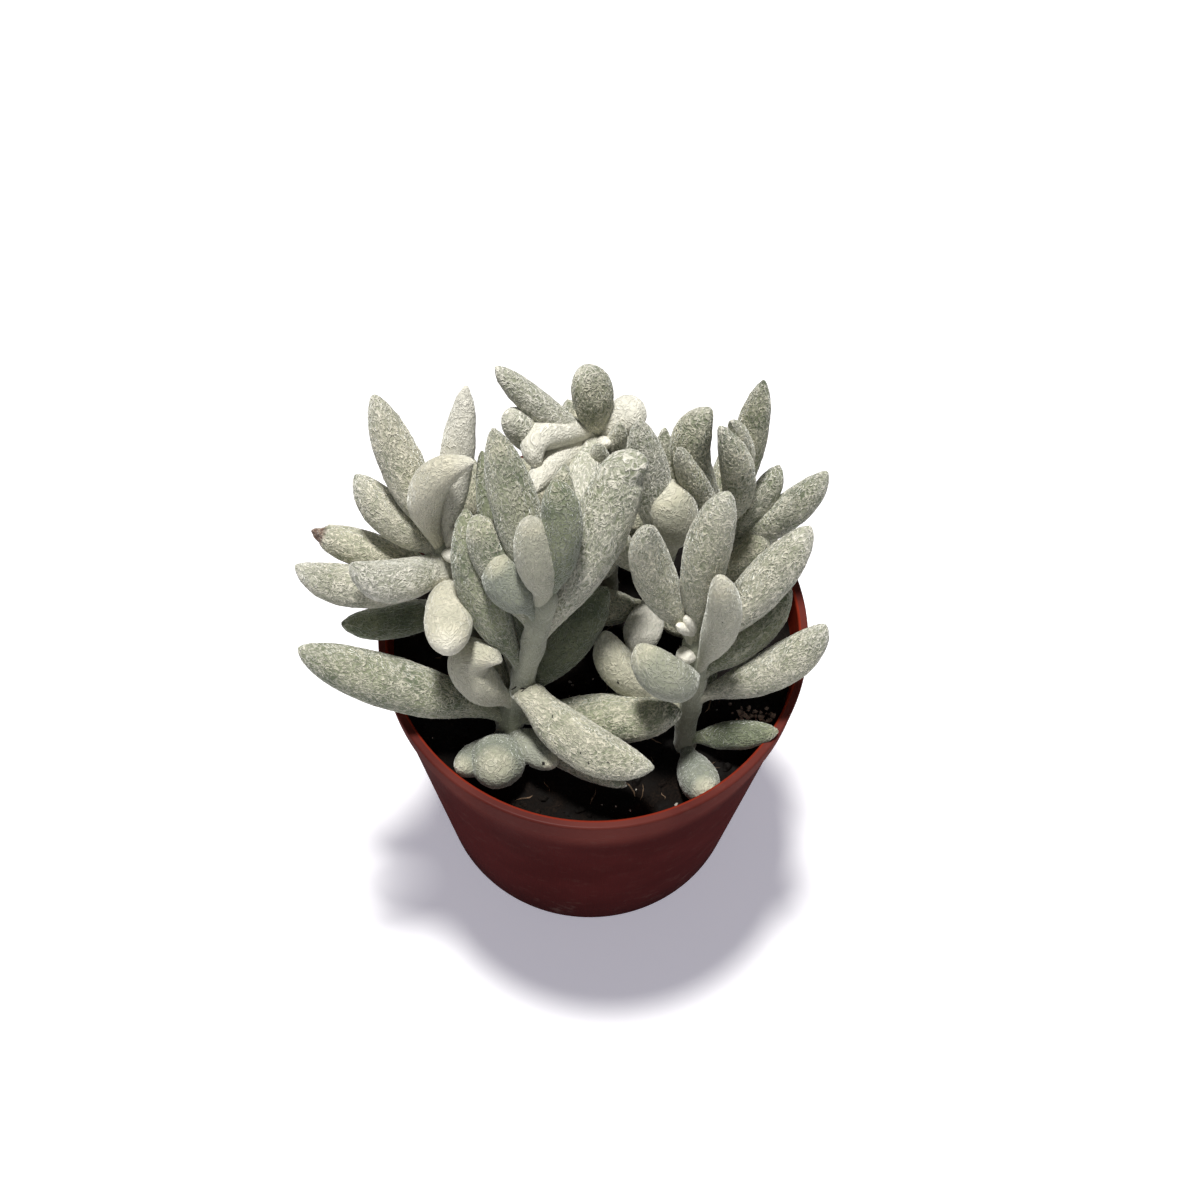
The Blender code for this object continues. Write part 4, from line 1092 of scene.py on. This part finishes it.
def pressed_marks(name, marks, colour):
    """Small lumps laid on the stems and leaves between the pixels where each mark is seen."""
    laid = []
    for stem, rows in marks.items():
        for first, last, width in rows:
            start, facing = seen_at(first, plants[stem])
            end, _ = seen_at(last, plants[stem])
            if start is None or end is None:
                continue
            along = end - start
            across = facing.cross(along).normalized()
            mark = np.zeros((3, 4))
            mark[:, 0] = along
            mark[:, 1] = across * width * MM
            mark[:, 2] = facing * MARK_RISE * width * MM
            mark[:, 3] = (start + end) / 2
            laid.append(mark)
    kinds = np.arange(len(laid)) % len(fine_lumps)
    piece = strewn_copies(name, fine_lumps, kinds, np.array(laid))
    piece.data.materials.append(mineral(name, colour))
    finish_piece(piece, name, "felted_leaf")


pressed_marks("cracks_and_specks", DARK_MARKS, CRACK_DARK)
pressed_marks("scar_edges", PALE_MARKS, SCAR_PALE)
for lump in coarse_lumps + fine_lumps:
    bpy.data.objects.remove(lump)

# Felt strands: short matted hairs that lie on every leaf, mostly along it, with some standing off it.
# One strand in six bends is modelled, and its copies are laid on the skin by a seeded draw.
STRANDS_PER_SQUARE_MM = 0.85
STRANDS_BY_WEAVE = (0.02, 1.3)  # the share that lies on smooth felt, and what a coarse weave adds
STRAND_LIMIT = 15500
STRAND_SPREAD = math.radians(42)
STRAND_LIFT = math.radians(2.5)
STRAND_LENGTHS = (0.8, 1.5)     # in millimetres, as the thicknesses
STRAND_THICKNESSES = (0.13, 0.21)
STRAND_FLATNESS = 0.4
STRAND_SINK = 0.01
STRAND_SEED = 40
LENGTH_GUARD = 1e-12            # keeps a sliver of the skin out of a division by zero


def felt_strand():
    """Matted hair with a soft sheen, in the colour of the felt that it lies on, and darker in places."""
    material, tree, shader = new_material(
        "felt_strand", Roughness=0.9, Sheen_Weight=0.4, Sheen_Roughness=0.4, Specular_IOR_Level=0.2)
    place = add_node(tree, "TexCoord").outputs["Object"]
    patches = add_node(tree, "TexNoise", Vector=place, Scale=260, Detail=2).outputs["Fac"]
    tone = add_node(tree, "Attribute", {"attribute_name": "skin_tone"})
    tone_parts = add_node(tree, "SeparateColor", Color=tone.outputs["Color"]).outputs
    felt = add_node(tree, "Group", {"node_tree": felt_colours}, Whiteness=tone_parts["Green"])
    bare = maths(tree, "MULTIPLY", tone_parts["Red"], 0.45)
    darker = maths(tree, "MULTIPLY", spread(tree, patches, 0.65, 0.25), 0.25)
    bare = maths(tree, "ADD", bare, darker, clamp=True)
    tree.links.new(blend_colours(tree, bare, felt.outputs["Colour"], FLESH), shader.inputs["Base Color"])
    return material


def read_values(items, key, per_item, kind=np.float32):
    """One kind of value of a mesh's points or faces, as rows."""
    values = np.zeros(per_item * len(items), dtype=kind)
    items.foreach_get(key, values)
    return values.reshape(-1, per_item)


def frames_on_skin(corners, along, up, draw):
    """Frames that lay a strand on each triangle, along its leaf within a spread and a little raised."""
    count = len(corners)
    weights = draw.dirichlet((1, 1, 1), count)
    places = (corners * weights[:, :, None]).sum(axis=1)
    rise = along - along.mean(axis=1, keepdims=True)
    offsets = corners - corners.mean(axis=1, keepdims=True)
    ahead = (rise[:, :, None] * offsets).sum(axis=1)
    ahead /= np.linalg.norm(ahead, axis=1, keepdims=True) + LENGTH_GUARD
    side = np.cross(up, ahead)
    turn = draw.normal(0, STRAND_SPREAD, count)[:, None]
    lift = np.abs(draw.normal(0, STRAND_LIFT, count))[:, None]
    level = np.cos(turn) * ahead + np.sin(turn) * side
    first = np.cos(lift) * level + np.sin(lift) * up
    third = np.cos(lift) * up - np.sin(lift) * level
    second = np.cross(third, first)
    length = draw.uniform(*STRAND_LENGTHS, (count, 1)) * MM
    thick = draw.uniform(*STRAND_THICKNESSES, (count, 1)) * MM
    frames = np.zeros((count, 3, 4))
    frames[:, :, 0] = first * length
    frames[:, :, 1] = second * thick
    frames[:, :, 2] = third * thick * STRAND_FLATNESS
    frames[:, :, 3] = places - up * STRAND_SINK * MM
    return frames


def lay_strands(plant, name, draw):
    """Copies of the strands over a leafy stem: most where its felt is coarse, and none where it dried."""
    mesh = plant.data
    mesh.calc_loop_triangles()
    triangles = read_values(mesh.loop_triangles, "vertices", 3, np.int32)
    corners = read_values(mesh.vertices, "co", 3)[triangles].astype(float)
    along = read_values(mesh.attributes["skin_place"].data, "vector", 3)[triangles][:, :, 2]
    tone = read_values(mesh.attributes["skin_tone"].data, "color", 4)[triangles].mean(axis=1)
    cross = np.cross(corners[:, 1] - corners[:, 0], corners[:, 2] - corners[:, 0])
    area = 0.5 * np.linalg.norm(cross, axis=1)
    normals = cross / (2 * area[:, None] + LENGTH_GUARD)
    on_smooth, by_weave = STRANDS_BY_WEAVE
    wanted = area * (on_smooth + by_weave * tone[:, 3]) * (1 - tone[:, 2])
    count = min(STRAND_LIMIT, int(STRANDS_PER_SQUARE_MM * wanted.sum() / MM ** 2))
    picked = draw.choice(len(triangles), size=count, p=wanted / wanted.sum())
    frames = frames_on_skin(corners[picked], along[picked], normals[picked], draw)
    kinds = draw.integers(0, len(strands), count)
    felt = strewn_copies(name, strands, kinds, frames)
    laid = [np.repeat(tone[picked][kinds == kind], len(strand.data.vertices), axis=0)
            for kind, strand in enumerate(strands)]
    kept = felt.data.attributes.new("skin_tone", "FLOAT_COLOR", "POINT")
    kept.data.foreach_set("color", np.concatenate(laid).astype(np.float32).ravel())
    return felt


strand_material = felt_strand()
for number, (stem, plant) in enumerate(plants.items()):
    felt = lay_strands(plant, "felt_on_" + stem, np.random.default_rng(STRAND_SEED + number))
    felt.data.materials.append(strand_material)
    felt.data.shade_smooth()
    finish_piece(felt, "felt_on_" + stem, "felted_leaf")
for strand in strands:
    bpy.data.objects.remove(strand)

# Studio: a plain white table top, one soft lamp above and a little behind the plant, a wide weak one in
# front, and pale light all round.
FLOOR_SIZE = 3.0
FLOOR_WHITE = (0.88, 0.88, 0.89, 1)
FLOOR_GLOW = 0.34
GLOW_COLOUR = (0.89, 0.86, 1.0, 1)
LAMP_SIZE = 0.34
LAMP_POWER = 65.0
LAMP_COLOUR = (1.0, 0.985, 0.955)
LAMP_FROM = Vector((-0.06, 0.15, 1.0))
LAMP_DISTANCE = 2.2
FILL_SIZE = 1.2
FILL_POWER = 3.8
FILL_COLOUR = (0.97, 0.98, 1.0)
FILL_FROM = Vector((0.1, -1.0, 1.1))
FILL_DISTANCE = 2.0
SKY_COLOUR = (0.92, 0.95, 1.0, 1)
SKY_STRENGTH = 0.09

bpy.ops.mesh.primitive_plane_add(size=FLOOR_SIZE, location=(0, 0, 0))
floor = bpy.context.object
floor.name = "table_top"
floor_material, _, _ = new_material(
    "table_top", Base_Color=FLOOR_WHITE, Roughness=0.8, Specular_IOR_Level=0.2,
    Emission_Color=GLOW_COLOUR, Emission_Strength=FLOOR_GLOW)
floor.data.materials.append(floor_material)


def add_lamp(name, shape, size, power, colour, direction, distance):
    """An area lamp that faces the middle of the pot's rim from a direction and distance."""
    bpy.ops.object.light_add(type="AREA")
    lamp = bpy.context.object
    lamp.name = name
    lamp.data.shape = shape
    lamp.data.size = size
    lamp.data.energy = power
    lamp.data.color = colour
    lamp.location = RIM_CENTRE + distance * direction.normalized()
    lamp.rotation_euler = direction.to_track_quat("Z", "Y").to_euler()


add_lamp("soft_lamp", "DISK", LAMP_SIZE, LAMP_POWER, LAMP_COLOUR, LAMP_FROM, LAMP_DISTANCE)
add_lamp("front_fill", "SQUARE", FILL_SIZE, FILL_POWER, FILL_COLOUR, FILL_FROM, FILL_DISTANCE)

world = bpy.data.worlds.new("studio")
world.use_nodes = True
sky = world.node_tree.nodes["Background"]
sky.inputs["Color"].default_value = SKY_COLOUR
sky.inputs["Strength"].default_value = SKY_STRENGTH
bpy.context.scene.world = world
bpy.context.scene.view_settings.view_transform = "Standard"
